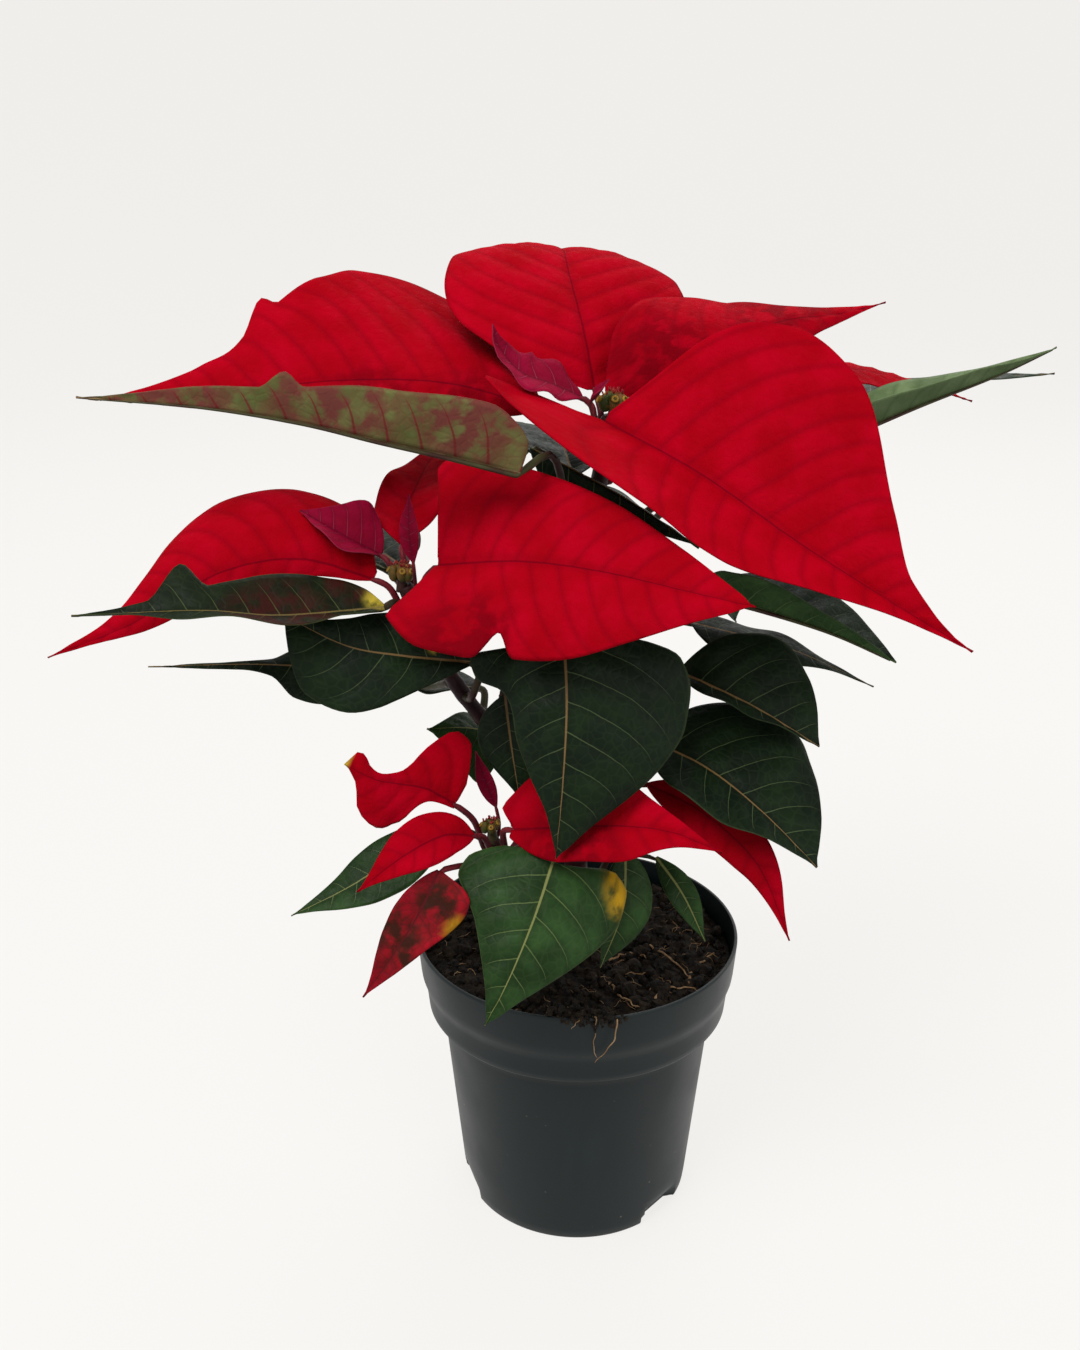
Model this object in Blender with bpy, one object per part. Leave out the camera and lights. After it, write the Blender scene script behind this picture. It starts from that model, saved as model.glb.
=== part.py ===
"""A poinsettia in its nursery pot: pot, soil, branching stem, flower heads, bracts and leaves.

Places and sizes in the tables are millimetres. The origin is the centre of the pot's base face,
+Z is up and the plant is looked at along +Y.
"""

import bmesh
import bpy
import numpy as np
from mathutils import Vector, noise

MM = 0.001
GAP = 0.4
SHARP_ANGLE = 50.0
CURVE_STEPS = 24

# Pot
RIM_RADIUS = 60.0
POT_HEIGHT = 109.0
BAND_HEIGHT = 20.0
BAND_FOOT_RADIUS = 57.2
COLLAR_HEIGHT = 28.0
COLLAR_FOOT_RADIUS = 56.4
SHOULDER_HEIGHT = 4.0
BODY_TOP_RADIUS = 51.0
BASE_RADIUS = 43.6
WALL = 1.2
LIP_ROUND = 0.6
BASE_ROUND = 1.4
FLOOR = 1.6
POT_SIDES = 44
NOTCH_ANGLES = (80.0, 200.0, 320.0)
NOTCH_WIDTH = 24.0
NOTCH_DEPTH = 4.4
NOTCH_HEIGHT = 9.0
NOTCH_LEAN = 14.0
NOTCH_FOOT = 2.0
CUTTER_REACH = 12.0
CUTTER_DROP = 5.0

# Soil
SOIL_LEVEL = 99.0
SOIL_BUMP = 2.6
SOIL_LUMP_SIZE = 13.0
SOIL_FINE_SIZE = SOIL_LUMP_SIZE / 3
SOIL_SLICE = 3.0
SOIL_FINE_SLICE = 9.0
SOIL_EDGE = 6.0
SOIL_MOUND = 0.6
BORE_COLLAR = 1.5
BORE = ((2.0, 4.0, 73.6), (1.6, 3.7, 99.0), (1.2, 3.3, 111.0))
BORE_SIDES = 10
SOIL_RINGS = 7
SOIL_SIDES = 28

# Stem
STEM_RADIUS = 5.2
STEM_SIDES = 8
STEM_ROWS = 7
BRANCH_SIDES = 7

# Flower heads, in shares of the head's radius
GOLDEN_TURN = np.pi * (3 - 5**0.5)
CUP_SIDES = 6
CUP_RINGS = 5
CUP_SPREAD = 0.62
CUP_STRAY = 0.2
CUP_HALF_HEIGHT = (0.5, 0.62)
CUP_HALF_WIDTH = (0.33, 0.4)
MOUND_FALL = 0.25

# Leaves
BLADE = 0.7
RIB_DEPTH = 0.9
TIP_HALF_WIDTH = 0.45
LOBE_REACH = 0.25
LOBE_START = 0.03
LOBE_BEND = 1.5
WAVE_SHIFT = 0.35
STALK_RADIUS = 1.25
BRACT_STALK_RADIUS = 1.05
STALK_ROWS = 3
ROW_LENGTH = 15.0
LEAST_ROWS = 7
MOST_ROWS = 12
ROW_EASE = 1.25
NARROW = 14.0
WIDE = 40.0

# Colours as seen, sRGB
COLOURS = {
    "pot": (0.19, 0.22, 0.22),
    "soil": (0.12, 0.09, 0.07),
    "stem": (0.24, 0.12, 0.11),
    "bract": (0.76, 0.0, 0.12),
    "young_bract": (0.44, 0.04, 0.14),
    "mottled_bract": (0.50, 0.07, 0.09),
    "leaf": (0.12, 0.22, 0.15),
    "leaf_underside": (0.32, 0.40, 0.26),
    "head": (0.48, 0.45, 0.16),
}

ROUGHNESS = {"pot": 0.45, "soil": 0.95, "stem": 0.6}
LEAF_ROUGHNESS = 0.5

# Share of the half-width at shares of the length
OUTLINES = {
    "ovate": (
        (0, .06), (.05, .34), (.14, .68), (.27, .94), (.38, 1), (.54, .9), (.7, .6), (.84, .27),
        (.94, .08), (1, 0),
    ),
    "cordate": (
        (0, .1), (.035, .62), (.1, .92), (.22, 1), (.38, .96), (.54, .8), (.7, .55), (.84, .27),
        (.94, .1), (1, 0),
    ),
    "heart": (
        (0, .2), (.03, .72), (.08, .98), (.18, 1), (.34, .88), (.5, .68), (.66, .45), (.82, .21),
        (.94, .08), (1, 0),
    ),
    "square": (
        (0, .1), (.02, .85), (.06, 1), (.14, .98), (.3, .86), (.5, .66), (.7, .43), (.85, .22),
        (.95, .08), (1, 0),
    ),
    "wing": (
        (0, .06), (.05, .32), (.12, .68), (.2, .9), (.3, 1), (.42, .92), (.54, .76), (.7, .41),
        (.82, .14), (1, 0),
    ),
    "lobed": (
        (0, .1), (.035, .62), (.1, .92), (.22, 1), (.4, .88), (.54, .66), (.7, .38), (.82, .17),
        (.92, .06), (1, 0),
    ),
    "fan": (
        (0, .06), (.1, .36), (.2, .64), (.3, .88), (.4, 1), (.52, .97), (.66, .75), (.8, .4),
        (.92, .12), (1, 0),
    ),
    "leaning": (
        (0, .1), (.05, .5), (.14, .86), (.26, 1), (.4, .95), (.52, .76), (.66, .44), (.8, .18),
        (.92, .05), (1, 0),
    ),
    "tapered": (
        (0, .12), (.05, .7), (.12, .96), (.2, 1), (.34, .84), (.48, .62), (.62, .44), (.76, .27),
        (.9, .1), (1, 0),
    ),
    "full": (
        (0, .06), (.05, .32), (.14, .64), (.27, .9), (.4, 1), (.56, .97), (.72, .8), (.86, .46),
        (.95, .16), (1, 0),
    ),
    "blunt": ((0, .1), (.06, .5), (.16, .8), (.3, 1), (.5, 1), (.66, .9), (.8, .7), (.92, .42), (1, 0)),
    "heeled": (
        (0, .2), (.04, 1), (.13, .94), (.2, .68), (.3, .57), (.46, .5), (.62, .35), (.78, .16),
        (.9, .06), (1, 0),
    ),
    "late": (
        (0, .06), (.12, .28), (.28, .55), (.45, .86), (.58, 1), (.72, .93), (.86, .55), (.95, .2),
        (1, 0),
    ),
    "lance": (
        (0, .07), (.07, .34), (.2, .74), (.36, .98), (.46, 1), (.62, .82), (.78, .5), (.9, .2), (1, 0),
    ),
    "whip": ((0, .1), (.08, .6), (.2, 1), (.34, .85), (.45, .32), (.58, .16), (.8, .09), (1, 0)),
    "flag": (
        (0, .3), (.08, .6), (.16, .84), (.24, .88), (.34, .56), (.44, .27), (.56, .14), (.7, .1),
        (.8, .14), (.9, .24), (.97, .2), (1, 0),
    ),
    "flap": ((0, .1), (.2, .2), (.36, .45), (.5, .85), (.62, 1), (.74, .75), (.84, .25), (.92, .1), (1, 0)),
}

# The main stem and its branches: points, first radius and last radius
STEM = {
    "trunk": (((2, 4, 74), (1, 3, 110), (-2, 1, 150)), 5.2, 4.0),
    "top_branch": (((-2, 1, 140), (-3, 6, 190), (2, 6, 250), (9, 3, 301)), 3.6, 2.5),
    "left_branch": (((-1, 2, 146), (-20, -3, 176), (-43, -14, 213), (-58, -20, 249)), 3.2, 2.2),
    "low_branch": (((1, 2, 118), (-12, -18, 134), (-24, -33, 150), (-29, -39, 166)), 2.8, 2.0),
}

# Flower heads: centre, radius of the cluster, number of cups
HEADS = {
    "flower_head_top": ((10, 4, 306), 6.0, 7),
    "flower_head_left": ((-59, -20, 254), 5.0, 6),
    "flower_head_low": ((-29, -39, 171), 4.2, 5),
}

# Each blade: where it grows, points its stalk passes, its rib from base to tip, and for its
# left and right half, seen from above towards the tip, the width and the angle above level
LEAVES = {
    "bract_front_right": dict(
        kind="bract", outline=("wing", "lobed"), on=("top_branch", 0.90), stalk=((8, -4, 296),),
        rib=((7, -6, 301), (37, -24, 288), (66, -47, 272), (93, -69, 259), (111, -84, 251)),
        width=(55, 34), rise=((66, 66), (6, -14)), curl=(-3, 0), back=(0, 54), wave=(1.2, 2.5),
    ),
    "bract_top_middle": dict(
        kind="bract", outline=("ovate", "fan"), on=("top_branch", 0.955), stalk=((6, 8, 301),),
        rib=((4, 13, 308), (0, 24, 326), (-5, 42, 342), (-8, 62, 350), (-12, 96, 343)),
        width=(45, 43), rise=(14, 2), curl=(-14, -14), wave=(1.5, 2.5),
    ),
    "bract_back_right": dict(
        kind="bract", outline=("leaning", "leaning"), on=("top_branch", 0.93), stalk=((16, 8, 299),),
        rib=((21, 10, 304), (40, 20, 318), (66, 32, 328), (88, 41, 330), (106, 50, 333)),
        width=(30, 20), rise=((84, 22), -36), curl=(-10, -6), wave=(0.8, 2.5), back=(16, 0),
    ),
    "bract_left": dict(
        kind="bract", outline=("ovate", "leaning"), on=("top_branch", 0.94), stalk=((-4, 1, 299),),
        rib=((-14, 0, 304), (-44, 0, 312), (-78, -8, 314), (-118, -16, 311), (-152, -22, 310)),
        width=(15, 52), rise=((-60, -34), (18, 56)), curl=(-14, -10), wave=(1.0, 3),
        teeth=((1, .625, 7, .045), (1, .7, -3, .08)),
    ),
    "bract_far_right": dict(
        kind="bract", outline="ovate", on=("top_branch", 0.86), stalk=((26, 18, 292),),
        rib=((44, 34, 302), (86, 56, 309), (119, 71, 303), (149, 83, 293)),
        width=(24, 16), rise=(10, -10), curl=(-10, -10), wave=(1.2, 2),
    ),
    "young_bract_top": dict(
        kind="young_bract", outline="ovate", on=("top_branch", 0.985), stalk=((3, 3, 304),),
        rib=((0, 3, 307), (-10, 0, 312), (-20, -2, 316), (-27, -2, 324), (-29, -1, 331)),
        width=(9, 10), rise=(-20, 40), curl=(0, 0), wave=(1.0, 3.5),
    ),
    "tiny_leaf_top": dict(
        kind="young_bract", outline="lance", on=("top_branch", 0.975), stalk=((3, -2, 303),),
        rib=((2, -3, 307), (5, -3, 310), (8, -2, 314)),
        width=(3.2, 3.2), rise=(25, 25), curl=(0, 0), wave=(0, 2),
    ),
    "leaf_upper_left": dict(
        kind="leaf_underside", outline="tapered", on=("top_branch", 0.70),
        stalk=((-4, -12, 268), (-9, -24, 293)),
        rib=(
            (-19, -38, 291), (-41, -41, 297), (-61, -44, 302), (-84, -47, 308), (-113, -50, 313),
            (-148, -53, 316),
        ),
        width=(19, 10), rise=(72, (10, -15)), curl=(10, 0), back=(5, 0), wave=(1.0, 3),
        teeth=((0, .56, 5, .05),),
    ),
    "leaf_upper_right": dict(
        kind="leaf_underside", outline="ovate", on=("top_branch", 0.72), stalk=((28, 12, 270),),
        rib=((54, 16, 278), (84, 24, 288), (116, 32, 300), (146, 44, 309), (169, 55, 317)),
        width=(15, 10), rise=(24, 60), curl=(0, 0), wave=(1, 2.5),
    ),
    "leaf_far_right": dict(
        kind="leaf", outline="ovate", on=("top_branch", 0.66), stalk=((30, 32, 262),),
        rib=((58, 62, 276), (100, 92, 289), (146, 110, 296), (191, 120, 298)),
        width=(20, 20), rise=(8, 8), curl=(-6, -6), wave=(1, 2.5),
    ),
    "leaf_under_bract": dict(
        kind="leaf", outline="ovate", on=("top_branch", 0.82), stalk=((-7, -1, 285),),
        rib=((-17, -8, 293), (-2, -11, 286), (16, -16, 277), (38, -24, 264)),
        width=(12, 12), rise=(-20, -80), curl=(0, 0), wave=(1, 2.5),
    ),
    "bract_front_middle": dict(
        kind="bract", outline=("square", "cordate"), on=("left_branch", 0.92),
        stalk=((-51, -26, 252),),
        rib=((-46, -30, 259), (-19, -42, 264), (6, -52, 264), (32, -62, 261), (51, -70, 259)),
        width=(35, 35), rise=((66, 54), (-14, -34)), curl=(-4, -20), back=(8, 20), wave=(0.6, 2.5),
        teeth=((1, .28, -9, .07),),
    ),
    "bract_lower_left": dict(
        kind="bract", outline=("ovate", "leaning"), on=("left_branch", 0.93), stalk=((-63, -20, 248),),
        rib=((-68, -20, 251), (-92, -21, 258), (-118, -24, 254), (-146, -32, 239), (-173, -38, 229)),
        width=(7, 30), rise=(-50, 57), curl=(-20, -20), wave=(0.8, 2.5),
    ),
    "young_bract_left": dict(
        kind="young_bract", outline="ovate", on=("left_branch", 0.97), stalk=((-63, -17, 255),),
        rib=((-66, -15, 258), (-78, -14, 264), (-93, -11, 272)),
        width=(10, 14), rise=(0, 50), curl=(0, 0), wave=(0.8, 2),
    ),
    "bract_left_back": dict(
        kind="bract", outline="ovate", on=("left_branch", 0.95), stalk=((-59, -13, 256),),
        rib=((-60, -9, 260), (-60, 2, 268), (-56, 18, 277), (-52, 42, 284)),
        width=(12, 15), rise=(6, 14), curl=(0, 0), wave=(1.2, 2.5),
    ),
    "bractlet_left": dict(
        kind="young_bract", outline="lance", on=("left_branch", 0.985), stalk=((-54, -26, 255),),
        rib=((-54, -28, 259), (-55, -28, 269), (-55, -26, 281)),
        width=(3.2, 3.2), rise=(10, 10), curl=(0, 0), wave=(0.3, 2), face=(0, -1, 0),
    ),
    "leaf_left_inner": dict(
        kind="leaf", outline="ovate", on=("left_branch", 0.86), stalk=((-60, -8, 244),),
        rib=((-66, -4, 250), (-82, 2, 254), (-102, 8, 253)),
        width=(6, 12), rise=(10, 10), curl=(0, 0), wave=(0.8, 2),
    ),
    "leaf_left_dark": dict(
        kind="leaf", outline=("ovate", "leaning"), on=("left_branch", 0.84), stalk=((-60, -22, 243),),
        rib=((-63, -34, 246), (-94, -46, 247), (-117, -54, 251), (-155, -60, 251)),
        width=(9, 15), rise=(0, 40), curl=(0, 0), wave=(0.8, 2.5), teeth=((1, .67, 11, .1),),
    ),
    "leaf_left_hanging": dict(
        kind="leaf", outline=("late", "ovate"), on=("left_branch", 0.62),
        stalk=((-36, -25, 212), (-33, -28, 222)),
        rib=((-36, -30, 226), (-59, -35, 230), (-76, -37, 234), (-96, -34, 243)),
        width=(21, 14), rise=(4, 6), curl=(-10, -10), wave=(0.8, 2.5), face=(0, -1, .6),
    ),
    "leaf_left_back": dict(
        kind="leaf", outline="whip", on=("left_branch", 0.66), stalk=((-56, 4, 204),),
        rib=((-76, 12, 207), (-100, 10, 209), (-120, 6, 211), (-153, 0, 212)),
        width=(14, 10), rise=(-50, 20), curl=(0, 0), wave=(0.4, 2.5),
    ),
    "leaf_front_hanging": dict(
        kind="leaf", outline=("cordate", "heeled"), on=("top_branch", 0.40),
        stalk=((-4, -14, 226), (-5, -38, 246)),
        rib=((-5, -48, 240), (-4, -58, 222), (-5, -64, 198), (-7, -66, 173)),
        width=(41, 32), rise=(-8, -8), curl=(-8, -8), back=(4, 2), wave=(1.0, 2.5), face=(0, -1, 0.2),
    ),
    "leaf_right_upper": dict(
        kind="leaf_underside", outline=("full", "tapered"), on=("top_branch", 0.62),
        stalk=((14, -10, 252), (28, -30, 255)),
        rib=((38, -37, 253), (56, -43, 250), (78, -48, 244), (98, -50, 235)),
        width=(20, 14), rise=(20, 60), curl=(0, 0), wave=(0.6, 2.5),
    ),
    "leaf_right_slim": dict(
        kind="leaf", outline="leaning", on=("top_branch", 0.50), stalk=((16, 6, 228),),
        rib=((38, -1, 231), (72, -5, 223), (101, -9, 211)),
        width=(12, 11), rise=(0, -20), curl=(0, 0), wave=(0.8, 2.5),
    ),
    "leaf_right_middle": dict(
        kind="leaf", outline=("full", "ovate"), on=("top_branch", 0.42), stalk=((16, -10, 214),),
        rib=((33, -18, 219), (43, -25, 217), (59, -31, 211), (79, -36, 200)),
        width=(24, 5), rise=(52, -20), curl=(0, 0), wave=(0.8, 2.5),
    ),
    "leaf_right_lower": dict(
        kind="leaf", outline=("full", "ovate"), on=("top_branch", 0.27), stalk=((12, -12, 190),),
        rib=((22, -26, 198), (42, -36, 192), (60, -46, 181), (78, -54, 165)),
        width=(30, 16), rise=(38, -16), curl=(-6, 0), wave=(1, 2.5),
    ),
    "leaf_inner_hanging": dict(
        kind="leaf", outline="ovate", on=("left_branch", 0.45),
        stalk=((-26, -18, 200), (-26, -23, 212)),
        rib=((-25, -26, 213), (-23, -29, 197), (-20, -32, 177)),
        width=(12, 11), rise=(-4, -4), curl=(0, 0), wave=(0.8, 2), face=(0, -1, 0.2),
    ),
    "leaf_inner_left": dict(
        kind="leaf", outline="ovate", on=("left_branch", 0.52), stalk=((-34, 2, 203),),
        rib=((-38, 6, 203), (-52, 14, 202), (-68, 22, 197)),
        width=(11, 11), rise=(0, 0), curl=(0, 0), wave=(0.8, 2),
    ),
    "leaf_inner_folded": dict(
        kind="leaf_underside", outline="ovate", on=("left_branch", 0.26), stalk=((-22, 8, 176),),
        rib=((-27, 8, 184), (-40, 2, 189), (-54, -4, 191)),
        width=(20, 10), rise=(-50, 10), curl=(0, 0), wave=(0.6, 2),
    ),
    "curled_bract_low": dict(
        kind="bract", outline=("flap", "flag"), on=("low_branch", 0.93), stalk=((-35, -40, 173),),
        rib=((-41, -42, 180), (-50, -45, 187), (-58, -48, 190), (-66, -51, 193), (-75, -53, 199)),
        width=(16, 25), rise=((-20, -70), (80, 60)), curl=(-10, 0), wave=(0.5, 2),
    ),
    "bractlet_low": dict(
        kind="young_bract", outline="lance", on=("low_branch", 0.97), stalk=((-27, -33, 169),),
        rib=((-28, -32, 174), (-32, -30, 184), (-35, -28, 193)),
        width=(3.0, 3.0), rise=(10, 10), curl=(0, 0), wave=(0.3, 2), face=(0, -1, 0),
    ),
    "bract_low_left": dict(
        kind="bract", outline="ovate", on=("low_branch", 0.90), stalk=((-31, -45, 169),),
        rib=((-34, -49, 172), (-44, -55, 175), (-57, -61, 170), (-71, -66, 160)),
        width=(8, 9), rise=(4, 4), curl=(0, 0), wave=(0.8, 2), face=(0, -1, .8),
    ),
    "bract_low_right": dict(
        kind="bract", outline=("leaning", "ovate"), on=("low_branch", 0.95), stalk=((-25, -44, 171),),
        rib=((-22, -48, 174), (-6, -54, 178), (13, -58, 181), (30, -60, 180), (46, -62, 174)),
        width=(21, 13), rise=(54, -30), curl=(0, -10), back=(8, 3), wave=(0.8, 2.5),
    ),
    "bract_low_far_right": dict(
        kind="bract", outline="ovate", on=("low_branch", 0.86), stalk=((-14, -30, 169), (6, -24, 177)),
        rib=((23, -26, 181), (42, -36, 175), (60, -44, 160), (71, -52, 136)),
        width=(9, 8), rise=(10, -10), curl=(0, 0), wave=(0.6, 2), face=(-.3, -.6, .8),
    ),
    "leaf_low_front": dict(
        kind="leaf", outline=("heart", "tapered"), on=("low_branch", 0.84), stalk=((-20, -50, 168),),
        rib=((-8, -58, 168), (-14, -72, 154), (-22, -82, 137), (-29, -86, 124)),
        width=(28, 29), rise=(-4, -4), curl=(-10, -10), back=(9, 4), wave=(0.6, 2.5), face=(0, -1, .3),
    ),
    "leaf_low_right": dict(
        kind="leaf", outline="lance", on=("trunk", 0.62), stalk=((12, -24, 154),),
        rib=((16, -44, 166), (15, -54, 148), (8, -58, 128)),
        width=(10, 8), rise=(0, 0), curl=(0, 0), wave=(0.4, 2), face=(.3, -1, .2),
    ),
    "leaf_low_small": dict(
        kind="leaf", outline="lance", on=("trunk", 0.55), stalk=((16, -16, 146),),
        rib=((27, -30, 155), (36, -38, 145), (44, -42, 129)),
        width=(5, 5), rise=(4, 4), curl=(0, 0), wave=(0.4, 2), face=(0, -1, .4),
    ),
    "leaf_low_left": dict(
        kind="leaf", outline="ovate", on=("low_branch", 0.45), stalk=((-30, -14, 150),),
        rib=((-46, -16, 160), (-62, -24, 152), (-80, -31, 142), (-100, -36, 133)),
        width=(12, 9), rise=(0, 0), curl=(0, 0), wave=(1, 2), face=(0, -.6, .8),
    ),
    "mottled_bract_low": dict(
        kind="mottled_bract", outline=("tapered", "ovate"), on=("low_branch", 0.80),
        stalk=((-36, -51, 162),),
        rib=((-45, -60, 165), (-51, -69, 154), (-59, -77, 143), (-68, -82, 131)),
        width=(14, 8), rise=(4, 4), curl=(0, 0), wave=(0.8, 2.5), face=(0, -.8, .5),
    ),
    "leaf_back_high": dict(
        kind="leaf", outline="ovate", on=("top_branch", 0.60), stalk=((0, 24, 262),),
        rib=((-3, 40, 272), (-10, 70, 282), (-20, 104, 276), (-26, 134, 258)),
        width=(24, 24), rise=(14, 14), curl=(-6, -6), wave=(1.6, 2.5),
    ),
    "leaf_back_left": dict(
        kind="leaf", outline="ovate", on=("left_branch", 0.76), stalk=((-58, 6, 236),),
        rib=((-64, 20, 244), (-82, 44, 246), (-100, 68, 236), (-112, 86, 222)),
        width=(22, 22), rise=(14, 14), curl=(-6, -6), wave=(1.6, 2.5),
    ),
    "leaf_back_right": dict(
        kind="leaf", outline="ovate", on=("top_branch", 0.34), stalk=((12, 22, 212),),
        rib=((20, 36, 222), (38, 62, 224), (56, 86, 212), (66, 104, 196)),
        width=(22, 22), rise=(12, 12), curl=(-6, -6), wave=(1.6, 2.5),
    ),
    "leaf_back_low": dict(
        kind="leaf", outline="ovate", on=("trunk", 0.84), stalk=((-8, 24, 152),),
        rib=((-14, 38, 162), (-24, 60, 164), (-34, 84, 152), (-40, 100, 136)),
        width=(19, 19), rise=(10, 10), curl=(-6, -6), wave=(1.6, 2.5),
    ),
}


def remove_startup_objects():
    for obj in list(bpy.data.objects):
        bpy.data.objects.remove(obj)


def linear(channel):
    if channel <= 0.04045:
        return channel / 12.92
    return ((channel + 0.055) / 1.055) ** 2.4


def material(name, kind):
    made = bpy.data.materials.new(name)
    made.use_nodes = True
    shader = made.node_tree.nodes["Principled BSDF"]
    shader.inputs["Base Color"].default_value = [linear(c) for c in COLOURS[kind]] + [1]
    shader.inputs["Roughness"].default_value = ROUGHNESS.get(kind, LEAF_ROUGHNESS)
    shader.inputs["Metallic"].default_value = 0.0
    return made


def new_object(name, bm, kind):
    bmesh.ops.recalc_face_normals(bm, faces=bm.faces)
    mesh = bpy.data.meshes.new(name)
    bm.to_mesh(mesh)
    bm.free()
    mesh.shade_smooth()
    mesh.set_sharp_from_angle(angle=np.radians(SHARP_ANGLE))
    mesh.materials.append(material(name, kind))
    obj = bpy.data.objects.new(name, mesh)
    bpy.context.scene.collection.objects.link(obj)
    return obj


def unit(vectors):
    return vectors / np.linalg.norm(vectors, axis=-1, keepdims=True)


def eased(table, u):
    """A smooth curve through the table's points that adds no bumps between them."""
    x, y = np.array(table, float).T
    step = np.diff(x)
    slope = np.diff(y) / step
    bend = np.zeros(len(x))
    same = slope[1:] * slope[:-1] > 0
    sums = np.where(same, slope[1:] + slope[:-1], 1)
    bend[1:-1] = np.where(same, 2 * slope[1:] * slope[:-1] / sums, 0)
    bend[0] = slope[0]
    i = np.clip(np.searchsorted(x, u) - 1, 0, len(step) - 1)
    t = (u - x[i]) / step[i]
    rest = 1 - t
    return (
        rest**2 * (1 + 2 * t) * y[i]
        + t * rest**2 * step[i] * bend[i]
        + t**2 * (3 - 2 * t) * y[i + 1]
        - t**2 * rest * step[i] * bend[i + 1]
    )


def route(points, shares):
    """Places along a smooth curve through the points, and the curve's direction there."""
    p = np.array(points, float)
    if len(p) == 2:
        p = np.array([p[0], (p[0] + p[1]) / 2, p[1]])
    ends = np.vstack([2 * p[0] - p[1], p, 2 * p[-1] - p[-2]])
    t = np.linspace(0, 1, CURVE_STEPS, endpoint=False)[:, None]
    spans = []
    for a, b, c, d in zip(ends, ends[1:], ends[2:], ends[3:]):
        spans.append(b + 0.5 * t * (c - a + t * (2 * a - 5 * b + 4 * c - d + t * (3 * b - a - 3 * c + d))))
    curve = np.vstack(spans + [p[-1:]])
    run = np.concatenate([[0], np.cumsum(np.linalg.norm(np.diff(curve, axis=0), axis=1))])
    direction = unit(np.gradient(curve, axis=0))
    wanted = np.asarray(shares) * run[-1]
    places = np.stack([np.interp(wanted, run, curve[:, k]) for k in range(3)], axis=1)
    heading = np.stack([np.interp(wanted, run, direction[:, k]) for k in range(3)], axis=1)
    return places, unit(heading)


def facing(directions, face):
    """The upper side's normal at each place: the face direction made square to the rib."""
    face = np.array(face, float)
    return unit(face - (directions @ face)[:, None] * directions)


def blade_grid(leaf, shares, columns):
    """The blade's middle surface: rows along the rib, columns from the left edge to the right."""
    rib, along = route(leaf["rib"], shares)
    up = facing(along, leaf.get("face", (0, 0, 1)))
    left = np.cross(up, along)
    out = np.linspace(0, 1, columns + 1)
    sides = []
    for side, sign in ((0, 1), (1, -1)):
        shape = leaf["outline"] if isinstance(leaf["outline"], str) else leaf["outline"][side]
        outline = eased(OUTLINES[shape], shares)
        half = np.maximum(outline * leaf["width"][side], TIP_HALF_WIDTH)
        for at_side, place, height, reach in leaf.get("teeth", ()):
            if at_side == side:
                half = half + height * np.clip(1 - np.abs(shares - place) / reach, 0, 1)
        rise = np.interp(shares, (0, 0.5), np.broadcast_to(leaf["rise"][side], 2))
        rows = [rib]
        for k in range(1, columns + 1):
            angle = np.radians(rise + leaf["curl"][side] * (out[k] + out[k - 1]))[:, None]
            step = (half * (out[k] - out[k - 1]))[:, None]
            rows.append(rows[-1] + step * (np.cos(angle) * sign * left + np.sin(angle) * up))
        rows = np.stack(rows, axis=1)
        height, count = leaf["wave"]
        wave = height * np.sin(2 * np.pi * (count * shares + WAVE_SHIFT * side)) * outline
        rows += (wave[:, None] * out**2)[..., None] * up[:, None]
        sweep = leaf.get("back", (0, 0))[side] * np.clip(1 - shares / LOBE_REACH, 0, 1) ** 2
        sweep = sweep * np.clip(shares / LOBE_START, 0, 1)
        rows -= (sweep[:, None] * out**LOBE_BEND)[..., None] * along[:, None]
        sides.append(rows)
    return np.concatenate([sides[0][:, :0:-1], sides[1]], axis=1)


def surface_normals(grid):
    along = np.gradient(grid, axis=0)
    across = np.gradient(grid, axis=1)
    return unit(np.cross(across, along))


def blade_rings(leaf, shares, columns):
    grid = blade_grid(leaf, shares, columns)
    normal = surface_normals(grid) * BLADE / 2
    top = grid + normal
    under = grid - normal
    under[:, columns] -= normal[:, columns] * (RIB_DEPTH * 2 / BLADE) * (1 - shares)[:, None]
    return np.concatenate([top, under[:, ::-1]], axis=1)


def stalk_rings(leaf, shares, columns):
    """Round rings from the stem to the blade, in the same order as the blade's rings."""
    branch, place = leaf["on"]
    points, first_radius, last_radius = STEM[branch]
    centre, axis = route(points, [place])
    away = np.array(leaf["stalk"][0], float) - centre[0]
    away = unit(away - (away @ axis[0]) * axis[0])
    radius = first_radius + (last_radius - first_radius) * place + GAP
    start = centre[0] + away * radius
    places, heading = route([start, start + away * 2] + list(leaf["stalk"]) + [leaf["rib"][0]], shares)
    up = facing(heading, leaf.get("face", (0, 0, 1)))
    right = np.cross(heading, up)
    count = 4 * columns + 2
    turn = np.pi * (1 - (2 * np.arange(count) + 1) / count)
    radius = BRACT_STALK_RADIUS if "bract" in leaf["kind"] else STALK_RADIUS
    radius = min(radius, 0.05 * sum(leaf["width"]) + 0.3)
    return places[:, None] + radius * (
        np.cos(turn)[None, :, None] * right[:, None] + np.sin(turn)[None, :, None] * up[:, None]
    )


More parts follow.
